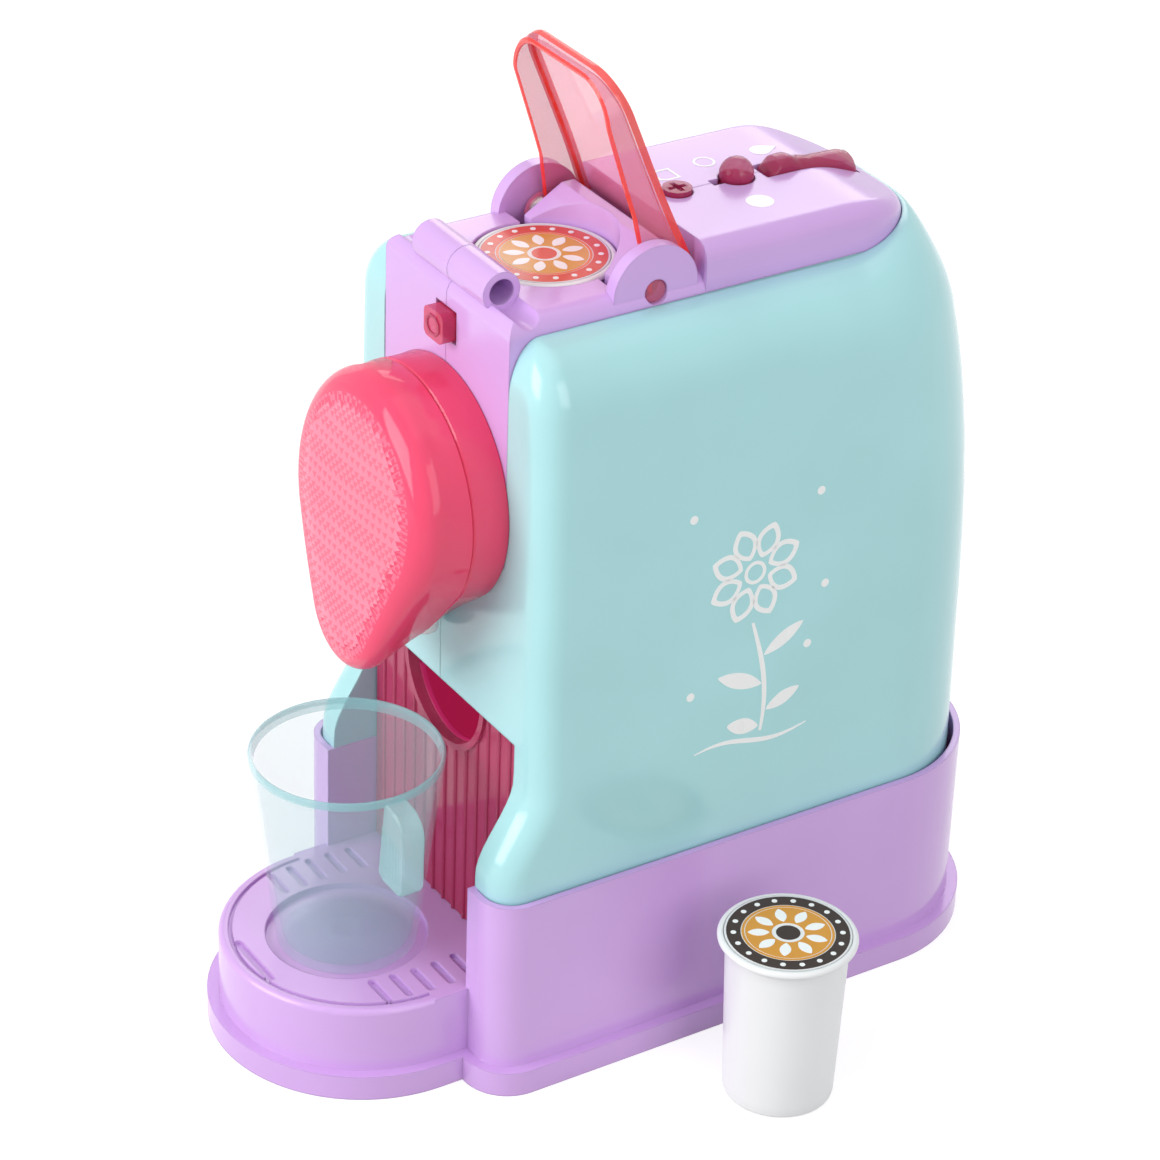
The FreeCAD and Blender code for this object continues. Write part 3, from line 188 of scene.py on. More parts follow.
LOOKS = {
    "lilac": moulded("lilac_plastic", "#D2A8E4"),
    "mint": moulded("mint_plastic", "#ACDEE0", roughness=0.16, soften=1.0 * MM),
    "red": see_through("clear_red_plastic", "#FF4F78", 0.74, roughness=0.07),
    # A lighter pink painted on the upward-facing facets of the brew cover's texture: a painted highlight.
    "red_painted_highlight": see_through("clear_red_painted_highlight_facets", "#FF7698", 0.74, roughness=0.07),
    "red_lid": see_through("clear_red_lid", "#EE7C9C", 0.4),
    # A deep red-orange painted on the lid's edges: painted glow of light carried through the clear plastic.
    "red_painted_edge_glow": see_through("clear_red_painted_edge_glow", "#F4362E", 0.9),
    "panel_red": see_through("clear_red_panel", "#C2446C", 0.68, roughness=0.08),
    "button_red": see_through("button_red", "#DC3E68", 0.66, roughness=0.05),
    "red_deep": see_through("deep_red_plastic", "#BE3A66", 0.66, roughness=0.04),
    # The magenta chute and bin glow: painted light that brightens them.
    "magenta": moulded("magenta_plastic_painted_glow", "#C02C68", roughness=0.35, glow=0.3),
    "white": moulded("white_plastic", "#ECECEC", roughness=0.38, uneven=0.015),
    "teal": see_through("clear_teal_plastic", "#B4DDE1", 0.15, uneven=0.01),
    "teal_tab": see_through("clear_teal_tab", "#B6E2E4", 0.4),
    "teal_rim": see_through("deep_teal_plastic", "#97CFD3", 0.5),
    "lamp": clear("lamp_plastic", "#F4F0E4"),
    "black": moulded("black_plastic", "#18181A", roughness=0.4),
    "cell": moulded("cell_sleeve", "#2A2A30", roughness=0.3),
    "steel": brushed("steel"),
    "board": board_green("board_lacquer"),
    "print_white": moulded("print_white", "#F6F6F4", roughness=0.3, soften=0.0, uneven=0.01),
    "amber": moulded("print_amber", "#D9962E", roughness=0.3, soften=0.0),
    "orange": moulded("print_orange", "#E8743A", roughness=0.3, soften=0.0),
    "brown": moulded("print_brown", "#3A2016", roughness=0.3, soften=0.0),
    "warm_red": moulded("print_red", "#D9482E", roughness=0.3, soften=0.0),
}

NODE_LOOKS = {
    "lilac": ["base_housing", "centre_shell_left", "centre_shell_right", "capsule_holder"],
    "magenta": ["capsule_chute", "capsule_bin"],
    "panel_red": ["ribbed_panel"],
    "button_red": ["front_button"],
    "red_deep": ["cross_button", "ball_button"],
    "white": ["seated_capsule_seal", "loose_capsule_seal", "nozzle", "control_bracket", "base_plate",
              "battery_door", "battery_tray"],
    "lamp": ["lamp"],
    "black": ["key_switches", "front_switch", "loudspeaker"],
    "cell": ["battery_cells"],
    "board": ["control_board", "front_board", "main_board"],
    "steel": ["head_screws", "rocker_pin", "bracket_screws", "base_screws", "battery_contacts",
              "cover_screws"],
}


def dress_nodes():
    """Gives every CAD node that stays in view its finish."""
    for look, names in NODE_LOOKS.items():
        for name in names:
            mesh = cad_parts[name].data
            mesh.materials.clear()
            mesh.materials.append(LOOKS[look])


# mesh helpers


def linked(name, data):
    """A new object in the scene."""
    made = bpy.data.objects.new(name, data)
    bpy.context.collection.objects.link(made)
    return made


def plain_mesh(name, points, faces):
    """A mesh whose faces look outward."""
    mesh = bpy.data.meshes.new(name)
    mesh.from_pydata([tuple(point) for point in points], [], faces)
    work = bmesh.new()
    work.from_mesh(mesh)
    bmesh.ops.recalc_face_normals(work, faces=work.faces)
    work.to_mesh(mesh)
    work.free()
    return mesh


def smooth_shade(mesh, sharp_deg, pick=None):
    """Smooth faces, with sharp edges above an angle. pick gives a face's material number from its middle."""
    work = bmesh.new()
    work.from_mesh(mesh)
    for edge in work.edges:
        edge.smooth = edge.is_manifold and edge.calc_face_angle(0.0) < radians(sharp_deg)
    for face in work.faces:
        face.smooth = True
        if pick:
            face.material_index = pick(face.calc_center_median())
    work.to_mesh(mesh)
    work.free()


def add_piece(name, points, faces, look, body, sharp_deg=32.0, second=None, pick=None):
    """A mesh piece in the row frame that rides on a body. Faces that pick gives 1 take the second look."""
    mesh = plain_mesh(name, points, faces)
    mesh.materials.append(LOOKS[look])
    if second:
        mesh.materials.append(LOOKS[second])
    smooth_shade(mesh, sharp_deg, pick)
    made = linked(name, mesh)
    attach(made, body)
    return made


def band(low, high, count):
    """Quads between two rings of count points, where low and high are the numbers of their first points."""
    return [(low + step, low + (step + 1) % count, high + (step + 1) % count, high + step)
            for step in range(count)]


def ring_faces(rings, count, start=0):
    """Quads between rings of count points each, laid one after another from the point number start."""
    return [face for ring in range(rings - 1)
            for face in band(start + ring * count, start + (ring + 1) * count, count)]


def loop_faces(rings, count):
    """Quads between rings, and between the last ring and the first."""
    return ring_faces(rings, count) + band((rings - 1) * count, 0, count)


def capped_faces(rings, count):
    """Quads between rings, and a face over the first and the last of them."""
    last = (rings - 1) * count
    return [*ring_faces(rings, count), tuple(range(count)), tuple(range(last, last + count))]


def arc(centre, radius, start_deg, end_deg, steps):
    """Points on an arc in a plane."""
    angles = [radians(start_deg + (end_deg - start_deg) * step / steps) for step in range(steps + 1)]
    return [(centre[0] + radius * cos(angle), centre[1] + radius * sin(angle)) for angle in angles]


def disc(centre, radius, steps=64):
    """A circle's points in a plane."""
    return [(centre[0] + radius * cos(2 * pi * step / steps),
             centre[1] + radius * sin(2 * pi * step / steps)) for step in range(steps)]


def lathe(profile, centre, turns=120):
    """Points and faces of a profile of (radius, height) turned about an upright axis through centre."""
    points, rows = [], []
    for radius, height in profile:
        if radius < 1e-7:
            rows.append([len(points)])
            points.append((centre[0], centre[1], height))
            continue
        rows.append(list(range(len(points), len(points) + turns)))
        points += [(x, y, height) for x, y in disc(centre, radius, turns)]
    faces = []
    for low, high in zip(rows, rows[1:]):
        for step in range(turns):
            after = (step + 1) % turns
            corners = [low[step % len(low)], low[after % len(low)], high[after % len(high)],
                       high[step % len(high)]]
            faces.append(tuple(dict.fromkeys(corners)))
    return points, faces


def ways_along(spots):
    """The direction in which a line of spots runs at each of them."""
    ways = []
    for number in range(len(spots)):
        (x0, y0), (x1, y1) = spots[max(number - 1, 0)], spots[min(number + 1, len(spots) - 1)]
        ways.append(Vector((x1 - x0, y1 - y0)).normalized())
    return ways


def clamp(value):
    """The value, held between 0 and 1."""
    return min(max(value, 0.0), 1.0)


def smooth_step(value):
    """A soft run from 0 to 1."""
    value = clamp(value)
    return value * value * (3 - 2 * value)


def from_table(table, place, ease):
    """The value at a place, from a table of places and values. ease shapes the run from one to the next."""
    for (start, low), (end, high) in zip(table, table[1:]):
        if place <= end:
            return low + (high - low) * ease((place - start) / (end - start))
    return table[-1][1]


# brew head

HEAD_ROUND = 35.0 * MM
HEAD_UP = 170.0 * MM
HEAD_BACK = -57 * MM
HEAD_FRONT = -88 * MM
HEAD_WALL = 2.0 * MM
HEAD_LIP = HEAD_WALL - 0.1 * MM
HEAD_EDGE = 6.5 * MM
HEAD_STEPS = 480
EDGE_STEPS = 12
CHIN_ROUND_MM = (12.0, 21.0)
CHIN_UP_MM = (141.0, 138.0)
RIB_STEPS = 5
RIB_DEEP = 0.35 * MM
FACE_BORDER = 8.0 * MM
FACE_MIDDLE = 160 * MM
FACE_LEAN = 0.07
DOME_UP = 150 * MM
DOME_WIDE = 58 * MM
DOME_TALL = 82 * MM
DOME_DEEP = 6.4 * MM
TEXTURE_PITCH = 2.1 * MM
TEXTURE_STEP = TEXTURE_PITCH / sqrt(2)
TEXTURE_HIGH = 0.6 * MM
TEXTURE_MIDDLE = 155 * MM
TEXTURE_REACH = 45 * MM
TEXTURE_GAP = 0.45 * MM
BOSS_HOLE = 1.6 * MM
HEAD_BOSSES = (("upper", 0.7 * HEAD_ROUND, HEAD_UP + 0.486 * HEAD_ROUND, 3.0 * MM),
               ("lower", 14.6 * MM, 140 * MM, 1.9 * MM))


def chin_at(depth):
    """The chin's radius and height at a depth: small and high at the back, broad and low at the front."""
    share = clamp((HEAD_BACK - depth) / (HEAD_BACK - HEAD_FRONT))
    return [(back + (front - back) * share) * MM for back, front in (CHIN_ROUND_MM, CHIN_UP_MM)]


def flank_lean(chin_round, chin_up):
    """The angle by which the head's straight flanks draw in towards the chin."""
    return asin((HEAD_ROUND - chin_round) / (HEAD_UP - chin_up))


def hull_point(step, inset, depth=HEAD_FRONT):
    """A point of the brew head's outline at a depth: a round top that runs straight into a rounded chin."""
    chin_round, chin_up = chin_at(depth)
    lean = flank_lean(chin_round, chin_up)
    flank = (HEAD_UP - chin_up) * cos(lean)
    top_long = HEAD_ROUND * (pi + 2 * lean)
    chin_long = chin_round * (pi - 2 * lean)
    along = (top_long + chin_long + 2 * flank) * step / HEAD_STEPS
    big, small = HEAD_ROUND - inset, chin_round - inset
    if along < top_long:
        angle = -lean + along / HEAD_ROUND
        return big * cos(angle), HEAD_UP + big * sin(angle)
    along -= top_long
    left_x, left_z = cos(pi + lean), sin(pi + lean)
    if along < flank:
        part = along / flank
        return (left_x * (big + (small - big) * part),
                (HEAD_UP + left_z * big) * (1 - part) + (chin_up + left_z * small) * part)
    along -= flank
    if along < chin_long:
        angle = pi + lean + along / chin_round
        return small * cos(angle), chin_up + small * sin(angle)
    part = (along - chin_long) / flank
    return (-left_x * (small + (big - small) * part),
            (chin_up + left_z * small) * (1 - part) + (HEAD_UP + left_z * big) * part)


def inside_hull(spot, inset):
    """Whether a spot lies inside the head's front outline drawn in by an inset."""
    chin_round, chin_up = chin_at(HEAD_FRONT)
    lean = flank_lean(chin_round, chin_up)
    big, small = HEAD_ROUND - inset, chin_round - inset
    if (spot - Vector((0, HEAD_UP))).length < big or (spot - Vector((0, chin_up))).length < small:
        return True
    low, high = chin_up - small * sin(lean), HEAD_UP - big * sin(lean)
    if not low < spot.y < high:
        return False
    part = (spot.y - low) / (high - low)
    return abs(spot.x) < cos(lean) * (small + (big - small) * part)


def hull_ring(depth, inset):
    """The outline as a ring at a depth, drawn in by an inset."""
    return [(x, depth, z) for x, z in (hull_point(step, inset, depth) for step in range(HEAD_STEPS))]


def ribbed_ring(depth):
    """A ring of the inner wall whose inset waves, so that fine ribs run along the wall from front to back."""
    ring = []
    for step in range(HEAD_STEPS):
        wave = 0.5 - 0.5 * cos(2 * pi * step / RIB_STEPS)
        x, z = hull_point(step, HEAD_WALL + RIB_DEEP * wave, depth)
        ring.append((x, depth, z))
    return ring


def face_depth(x, z, face):
    """The domed face's depth at a place. It is about face in the middle, and the lower part leans forward."""
    dome = ((x / DOME_WIDE) ** 2 + ((z - DOME_UP) / DOME_TALL) ** 2) * DOME_DEEP
    return face + dome + (z - FACE_MIDDLE) * FACE_LEAN


def face_ring(face, inset, behind, depth=HEAD_FRONT):
    """A ring that follows the domed face at a distance behind it, with the outline of a depth."""
    spots = [hull_point(step, inset, depth) for step in range(HEAD_STEPS)]
    return [(x, face_depth(x, z, face) + behind, z) for x, z in spots]


def outside_rings(back, face):
    """The cover's outside, from the back over the rounded front edge to the border of the textured face."""
    rings = [hull_ring(back, 0.4 * MM), hull_ring(back - 0.4 * MM, 0.0)]
    for step in range(EDGE_STEPS + 1):
        angle = pi / 2 * step / EDGE_STEPS
        behind = HEAD_EDGE * (1 - sin(angle))
        rings.append(face_ring(face, HEAD_EDGE * (1 - cos(angle)), behind, face + behind))
    rings.append(face_ring(face, FACE_BORDER, 0.0))
    return rings


def inside_rings(back, front, face):
    """The cover's inside, from the back along the ribbed wall to the rear of the face."""
    rings = [hull_ring(back, HEAD_LIP)]
    for part in (0.0, 0.5, 1.0):
        rings.append(ribbed_ring(back + (front + 9 * MM - back) * part - 0.2 * MM))
    return rings + [face_ring(face, 4.6 * MM, 3.4 * MM), face_ring(face, FACE_BORDER, HEAD_WALL)]


def texture_lattice():
    """The spots of the face's texture and how far each stands out: every second one is a peak."""
    count = int(TEXTURE_REACH / TEXTURE_STEP)
    spots, rises = [], []
    for i in range(-count, count + 1):
        for j in range(-count, count + 1):
            spot = Vector((i * TEXTURE_STEP, TEXTURE_MIDDLE + j * TEXTURE_STEP))
            if inside_hull(spot, FACE_BORDER + TEXTURE_GAP):
                spots.append(spot)
                rises.append(TEXTURE_HIGH if (i + j) % 2 else 0.0)
    return spots, rises


def textured_face(points, border, first, face):
    """Adds the texture's points and returns its triangles. The border's points are numbered from first."""
    outline = [Vector((x, z)) for x, _, z in border]
    lattice, rises = texture_lattice()
    edges = [(step, (step + 1) % HEAD_STEPS) for step in range(HEAD_STEPS)]
    flat, _, triangles, origin, _, _ = geometry.delaunay_2d_cdt(outline + lattice, edges, [], 1, 1e-9)
    numbers = []
    for spot, sources in zip(flat, origin):
        if sources[0] < HEAD_STEPS:
            numbers.append(first + sources[0])
            continue
        numbers.append(len(points))
        rise = rises[sources[0] - HEAD_STEPS]
        points.append((spot.x, face_depth(spot.x, spot.y, face) - rise, spot.y))
    return [tuple(numbers[corner] for corner in triangle) for triangle in triangles]


def painted_highlight_facet_look(middle, face):
    """1 for a facet on the upper side of its peak, which takes a lighter pink as a painted highlight, as if
    lit from above, and 0 for other faces.
    """
    if middle.y > face_depth(middle.x, middle.z, face) + 0.1 * MM:
        return 0
    across, up = middle.x / TEXTURE_STEP, (middle.z - TEXTURE_MIDDLE) / TEXTURE_STEP
    peaks = [(i, j) for i in (floor(across), ceil(across)) for j in (floor(up), ceil(up)) if (i + j) % 2]
    return int(len(peaks) > 0 and up - min(peaks, key=lambda one: dist(one, (across, up)))[1] > 0)


def brew_cover():
    """The clear cover of the brew head: outside, textured face and inside in one closed form."""
    low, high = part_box("brew_head_cover")
    back, front = high[1], low[1]
    face = front + 0.2 * MM
    outside, inside = outside_rings(back, face), inside_rings(back, front, face)
    points = sum(outside, [])
    faces = ring_faces(len(outside), HEAD_STEPS)
    faces += textured_face(points, outside[-1], len(points) - HEAD_STEPS, face)
    start = len(points)
    points += sum(inside, [])
    faces += ring_faces(len(inside), HEAD_STEPS, start)
    centre, last = len(points), len(points) - HEAD_STEPS
    points.append((0.0, face_depth(0.0, FACE_MIDDLE, face) + HEAD_WALL, FACE_MIDDLE))
    faces += [(last + step, last + (step + 1) % HEAD_STEPS, centre) for step in range(HEAD_STEPS)]
    faces += band(0, start, HEAD_STEPS)
    # Facets that face upward take the lighter pink: a painted highlight.
    made = add_piece("brew_cover_faceted", points, faces, "red", "housing", sharp_deg=14.0,
                     second="red_painted_highlight", pick=lambda middle: painted_highlight_facet_look(middle, face))
    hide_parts("brew_head_cover")


def brew_ring():
    """The ring behind the cover, ribbed inside, and its screw bosses."""
    low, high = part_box("brew_head_ring")
    back, front = high[1], low[1]
    rings = [hull_ring(back, 0.3 * MM), hull_ring(back - 0.4 * MM, 0.0), hull_ring(front + 0.5 * MM, 0.0),
             hull_ring(front, 0.5 * MM), hull_ring(front, HEAD_LIP), ribbed_ring(front + 0.3 * MM),
             ribbed_ring(back - 0.3 * MM), hull_ring(back, HEAD_LIP)]
    points = sum(rings, [])
    faces = loop_faces(len(rings), HEAD_STEPS)
    made = add_piece("brew_ring_ribbed", points, faces, "red", "housing")
    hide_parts("brew_head_ring")
    screws_low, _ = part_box("head_screws")
    start, end = screws_low[1] - 0.4 * MM, back - 0.2 * MM
    for level, x, z, radius in HEAD_BOSSES:
        for side, sign in SIDES:
            boss(f"head_boss_{level}_{side}", (sign * x, z), start, end, radius)


def boss(name, spot, start, end, radius, steps=40):
    """A tube for a screw, which runs along the depth."""
    rings = [(start, radius), (end, radius), (end, BOSS_HOLE), (start, BOSS_HOLE)]
    points = [(x, depth, z) for depth, size in rings for x, z in disc(spot, size, steps)]
    add_piece(name, points, loop_faces(len(rings), steps), "red", "housing")


# mint covers

COVER_STEPS = 40
COVER_TURNS = 14
COVER_BANDS = 14
COVER_LEVELS_MM = (52, 58, 62, *range(65, 93, 3), 96, 104, 116, 130, 145, 160, 172, 182, 190, 196)
COVER_LOW = 52 * MM
COVER_SIDE_LOW = 54.1 * MM
COVER_SIDE_LEAN = 3.9 / 172.7
COVER_FRONT = -57.1 * MM
COVER_FOOT = 11.7 * MM
FOOT_LOW = 66 * MM
FOOT_TALL = 28 * MM
COVER_REAR = 102.6 * MM
REAR_DRAWN = 16 * MM
REAR_LOW = 110 * MM
REAR_TALL = 115 * MM
REAR_POWER = 2.6
COVER_CORNER_FRONT = 9 * MM
COVER_CORNER_REAR = 36 * MM
SHOULDER_MM = (10, 18, 25)
SIDE_LONG = 12 * MM
BEHIND_FROM = 20 * MM
BEHIND_LONG = 60 * MM
SEAM_HALF = 32.9 * MM
SEAM_FRONT = COVER_FRONT + 9 * MM
SEAM_REAR = 81 * MM
SEAM_CORNER_FRONT = 1 * MM
SEAM_CORNER_REAR = 25 * MM
SEAM_UP = 224.7 * MM
SEAM_RISE = 5.0 * MM
RISE_FROM = 50 * MM
RISE_LONG = 30 * MM
NICHE_HALF = 40 * MM + 0.3 * MM
NICHE_TOP = 104.7 * MM
PANEL_DEPTH = -54 * MM
SHELL_HALF = 32.5 * MM + 0.2 * MM
SHELL_REAR = 80.2 * MM
SHELL_CORNER = 24 * MM
CUT_FRONT = -80 * MM
CUT_LOW = 40 * MM
ROOM_HALF = 45 * MM
ROOM_REAR = 66 * MM
UPPER_ROOM_HALF = 34 * MM
UPPER_ROOM_TOP = 214 * MM
SEAT_LOW = 212.7 * MM


def rounded_ring(half, front, rear, front_round, rear_round):
    """A rectangle with rounded corners, run round in evenly numbered spots."""
    corners = []
    for sign_x, sign_y, start in ((1, -1, -90), (1, 1, 0), (-1, 1, 90), (-1, -1, 180)):
        radius, y = (front_round, front) if sign_y < 0 else (rear_round, rear)
        centre = (sign_x * (half - radius), y - sign_y * radius)
        corners.append(arc(centre, radius, start, start + 90, COVER_TURNS))
    ring = []
    for corner, after in zip(corners, corners[1:] + corners[:1]):
        ring += corner
        (x0, y0), (x1, y1) = corner[-1], after[0]
        ring += [(x0 + (x1 - x0) * step / COVER_STEPS, y0 + (y1 - y0) * step / COVER_STEPS)
                 for step in range(1, COVER_STEPS)]
    return ring


def cover_half(up):
    """Half the covers' width at a height."""
    return COVER_SIDE_LOW - (up - COVER_LOW) * COVER_SIDE_LEAN


@functools.lru_cache(maxsize=None)
def cover_ring(level):
    """The covers' outline in plan, at a height in quarter millimetres."""
    up = level * MM / 4
    front = COVER_FRONT - COVER_FOOT * (1 - smooth_step((up - FOOT_LOW) / FOOT_TALL))
    rear = COVER_REAR - REAR_DRAWN * max(0.0, (up - REAR_LOW) / REAR_TALL) ** REAR_POWER
    return rounded_ring(cover_half(up), front, rear, COVER_CORNER_FRONT, COVER_CORNER_REAR)


def seam_up(y):
    """The height at which the covers meet the lilac shell: level, then rising behind the controls."""
    return SEAM_UP + SEAM_RISE * smooth_step((y - RISE_FROM) / RISE_LONG)


def shoulder_high(y):
    """How high the shoulder is: small over the front, broad at the sides and broadest behind."""
    front, side, rear = SHOULDER_MM
    beside = smooth_step((y - COVER_FRONT) / SIDE_LONG)
    behind = smooth_step((y - BEHIND_FROM) / BEHIND_LONG)
    return (front + (side - front) * beside + (rear - side) * behind) * MM


def cover_body():
    """The closed outer form of both covers: upright walls and a broad shoulder up to the lilac shell."""
    rings = [[(x, y, level * MM) for x, y in cover_ring(level * 4)] for level in COVER_LEVELS_MM]
    seam = rounded_ring(SEAM_HALF, SEAM_FRONT, SEAM_REAR, SEAM_CORNER_FRONT, SEAM_CORNER_REAR)
    for step in range(COVER_BANDS + 1):
        turn = pi / 2 * step / COVER_BANDS
        ring = []
        for number, (inner_x, inner_y) in enumerate(seam):
            up = seam_up(inner_y) - shoulder_high(inner_y) * (1 - sin(turn))
            x0, y0 = cover_ring(round(up / MM * 4))[number]
            part = 1 - cos(turn)
            ring.append((x0 + (inner_x - x0) * part, y0 + (inner_y - y0) * part, up))
        rings.append(ring)
    return sum(rings, []), capped_faces(len(rings), len(seam))


def prism(name, outline, low, high):
    """An upright block over an outline, used to cut with."""
    points = [(x, y, z) for z in (low, high) for x, y in outline]
    return linked(name, plain_mesh(name, points, capped_faces(2, len(outline))))


def block(name, across, depths, heights):
    """An upright block between pairs of limits."""
    (left, right), (front, rear) = across, depths
    return prism(name, [(left, front), (right, front), (right, rear), (left, rear)], *heights)


def carve(made, steps):
    """Applies booleans one after another and removes the blocks that they used."""
    for number, (operation, tool) in enumerate(steps):
        step = made.modifiers.new(f"step_{number}", "BOOLEAN")
        step.operation = operation
        step.solver = "EXACT"
        step.object = tool
    bpy.context.view_layer.update()
    mesh = bpy.data.meshes.new_from_object(made.evaluated_get(bpy.context.evaluated_depsgraph_get()))
    made.modifiers.clear()
    made.data = mesh
    for _, tool in steps:
        bpy.data.objects.remove(tool)


def cover_cuts(sign):
    """The steps from the outer form to one cover: a side's half, less the front niche, the room inside and
    the seat of the lilac shell."""
    niche = (CUT_FRONT, PANEL_DEPTH + 1 * MM)
    room = (PANEL_DEPTH, ROOM_REAR)
    half = sorted((sign * 0.05 * MM, sign * 90 * MM))
    corner = arc((SHELL_HALF - SHELL_CORNER, SHELL_REAR - SHELL_CORNER), SHELL_CORNER, 0, 90, 16)
    other_corner = [(-x, y) for x, y in reversed(corner)]
    seat = [(SHELL_HALF, CUT_FRONT), *corner, *other_corner, (-SHELL_HALF, CUT_FRONT)]
    return [
        ("INTERSECT", block("half", half, (-200 * MM, 200 * MM), (0.0, 300 * MM))),
        ("DIFFERENCE", block("niche", (-NICHE_HALF, NICHE_HALF), niche, (CUT_LOW, NICHE_TOP))),
        ("DIFFERENCE", block("room", (-ROOM_HALF, ROOM_HALF), room, (CUT_LOW, NICHE_TOP))),
        ("DIFFERENCE", block("upper_room", (-UPPER_ROOM_HALF, UPPER_ROOM_HALF), room,
                             (NICHE_TOP - 2 * MM, UPPER_ROOM_TOP))),
        ("DIFFERENCE", prism("seat", seat, SEAT_LOW, 300 * MM)),
        ("DIFFERENCE", block("front_seat", (-SHELL_HALF, SHELL_HALF), niche, (157 * MM, 220 * MM))),
    ]


def covers():
    """Both mint covers, with the photo's broad shoulder."""
    points, faces = cover_body()
    for side, sign in SIDES:
        name = f"side_cover_{side}"
        made = linked(f"{name}_smooth", plain_mesh(f"{name}_smooth", points, faces))
        carve(made, cover_cuts(sign))
        smooth_shade(made.data, 26)
        made.data.materials.clear()
        made.data.materials.append(LOOKS["mint"])
        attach(made, "housing")
        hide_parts(name)


# lid

LID_PIN = (-11.3 * MM, 228.4 * MM)
LID_OPEN_DEG = -67.1
LID_HIGH = 15.4 * MM
LID_WALL = 1.8 * MM
LID_UNDER = LID_HIGH - LID_WALL
LID_DEPTHS_MM = ((-58.4, 5.4), (-54, 6.6), (-47, 8.6), (-32, 9.8), (-18, 10.9), (-8, 13.0), (5, 15.4))
PIN_INNER = 24.9 * MM
PIN_OUTER = 31.3 * MM


def lid_outline():
    """The lid's outline in its closed pose, from the left root round the rounded tip to the right root."""
    half = [(26.6, 5.0), (26.6, 1.0), (26.2, -4.0), (25.2, -10.0), (24.5, -18.0), (24.2, -28.0),
            (24.2, -38.0)]
    tip = arc((11.8, -46.0), 12.4, 0, -90, 14)
    right = [(x * MM, y * MM) for x, y in half + tip]
    return [(-x, y) for x, y in right] + right[::-1]


def lid_low(y):
    """The height of the flange's free edge: a little below the top plate at the tip and deep at the pins."""
    return LID_HIGH - from_table(LID_DEPTHS_MM, y / MM, clamp) * MM


def turned(y, z, degrees):
    """A spot of the side view, turned about the origin."""
    angle = radians(degrees)
    return y * cos(angle) - z * sin(angle), y * sin(angle) + z * cos(angle)


def lid_place(x, y, z):
    """A spot of the closed lid, turned open about its pins."""
    along, up = turned(y, z, LID_OPEN_DEG)
    return x, LID_PIN[0] + along, LID_PIN[1] + up


def lid_section(y):
    """The lid's edge at a place as pairs of inset and height: over the top, down outside and up inside."""
    free = lid_low(y)
    return [(1.4 * MM, LID_HIGH), (0.45 * MM, LID_HIGH - 0.3 * MM), (0.0, LID_HIGH - 1.2 * MM),
            (0.0, LID_HIGH - 2.6 * MM), (0.0, free + 0.7 * MM), (0.5 * MM, free), (LID_WALL - 0.4 * MM, free),
            (LID_WALL, free + 0.4 * MM), (LID_WALL, LID_UNDER - 0.8 * MM), (LID_WALL + 0.9 * MM, LID_UNDER)]


def lid_faces(rings, count):
    """Faces of the lid, whose rings are open at the pins: the edge, both sides of the plate and the ends."""
    last = (rings - 1) * count
    faces = [face for ring in range(rings - 1)
             for face in band(ring * count, (ring + 1) * count, count)[:-1]]
    for start in (0, last):
        faces += [(start + step, start + step + 1, start + count - 2 - step, start + count - 1 - step)
                  for step in range(count // 2 - 1)]
    left, right = tuple(range(0, rings * count, count)), tuple(range(count - 1, rings * count, count))
    return faces + [left, right, (left[0], right[0], right[-1], left[-1])]


def lid_painted_edge_glow_look(middle):
    """1 for the plate's rounded edge and the flange's free edge, which take a deep red-orange as a painted
    glow of the light that the clear plastic carries to its edges, and 0 for other faces.
    """
    along, up = turned(middle.y - LID_PIN[0], middle.z - LID_PIN[1], -LID_OPEN_DEG)
    in_band = LID_HIGH - 2.7 * MM < up < LID_HIGH - 0.05 * MM and abs(up - LID_UNDER) > 0.05 * MM
    return int(in_band or up < lid_low(along) + 0.65 * MM)


def lid():
    """The clear lid, shown open, and its two pins."""
    outline = lid_outline()
    ways = ways_along(outline)
    sections = zip(*[lid_section(y) for _, y in outline])
    points = [lid_place(x - way.y * inset, y + way.x * inset, up)
              for section in sections for (x, y), way, (inset, up) in zip(outline, ways, section)]
    faces = lid_faces(len(points) // len(outline), len(outline))
    made = add_piece("lid_clear", points, faces, "red_lid", "lid", second="red_painted_edge_glow",
                     pick=lid_painted_edge_glow_look)
    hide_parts("lid")
    lid_pins()


def lid_pins():
    """The pins' round bosses, turned about the lid's axis."""
    inner, outer = PIN_INNER, PIN_OUTER
    profile = [(0.0, inner), (5.4 * MM, inner), (5.6 * MM, inner + 0.2 * MM), (5.6 * MM, inner + 1.5 * MM),
               (5.4 * MM, inner + 1.7 * MM), (3.4 * MM, inner + 1.75 * MM), (3.4 * MM, outer - 0.4 * MM),
               (3.0 * MM, outer), (0.0, outer)]
    points, faces = lathe(profile, (0.0, 0.0), 48)
    for side, sign in SIDES:
        placed = [(sign * z, LID_PIN[0] + y, LID_PIN[1] + x) for x, y, z in points]
        add_piece(f"lid_pin_{side}", placed, faces, "red_lid", "lid")


# cup

CUP_STEPS = 128
CUP_FOOT = 20.2 * MM
CUP_RIM = 27.97 * MM
CUP_WALL = 1.5 * MM
TAB_THICK = 7.0 * MM
TAB_SOFT = 0.7 * MM
TAB_RIBS = 6


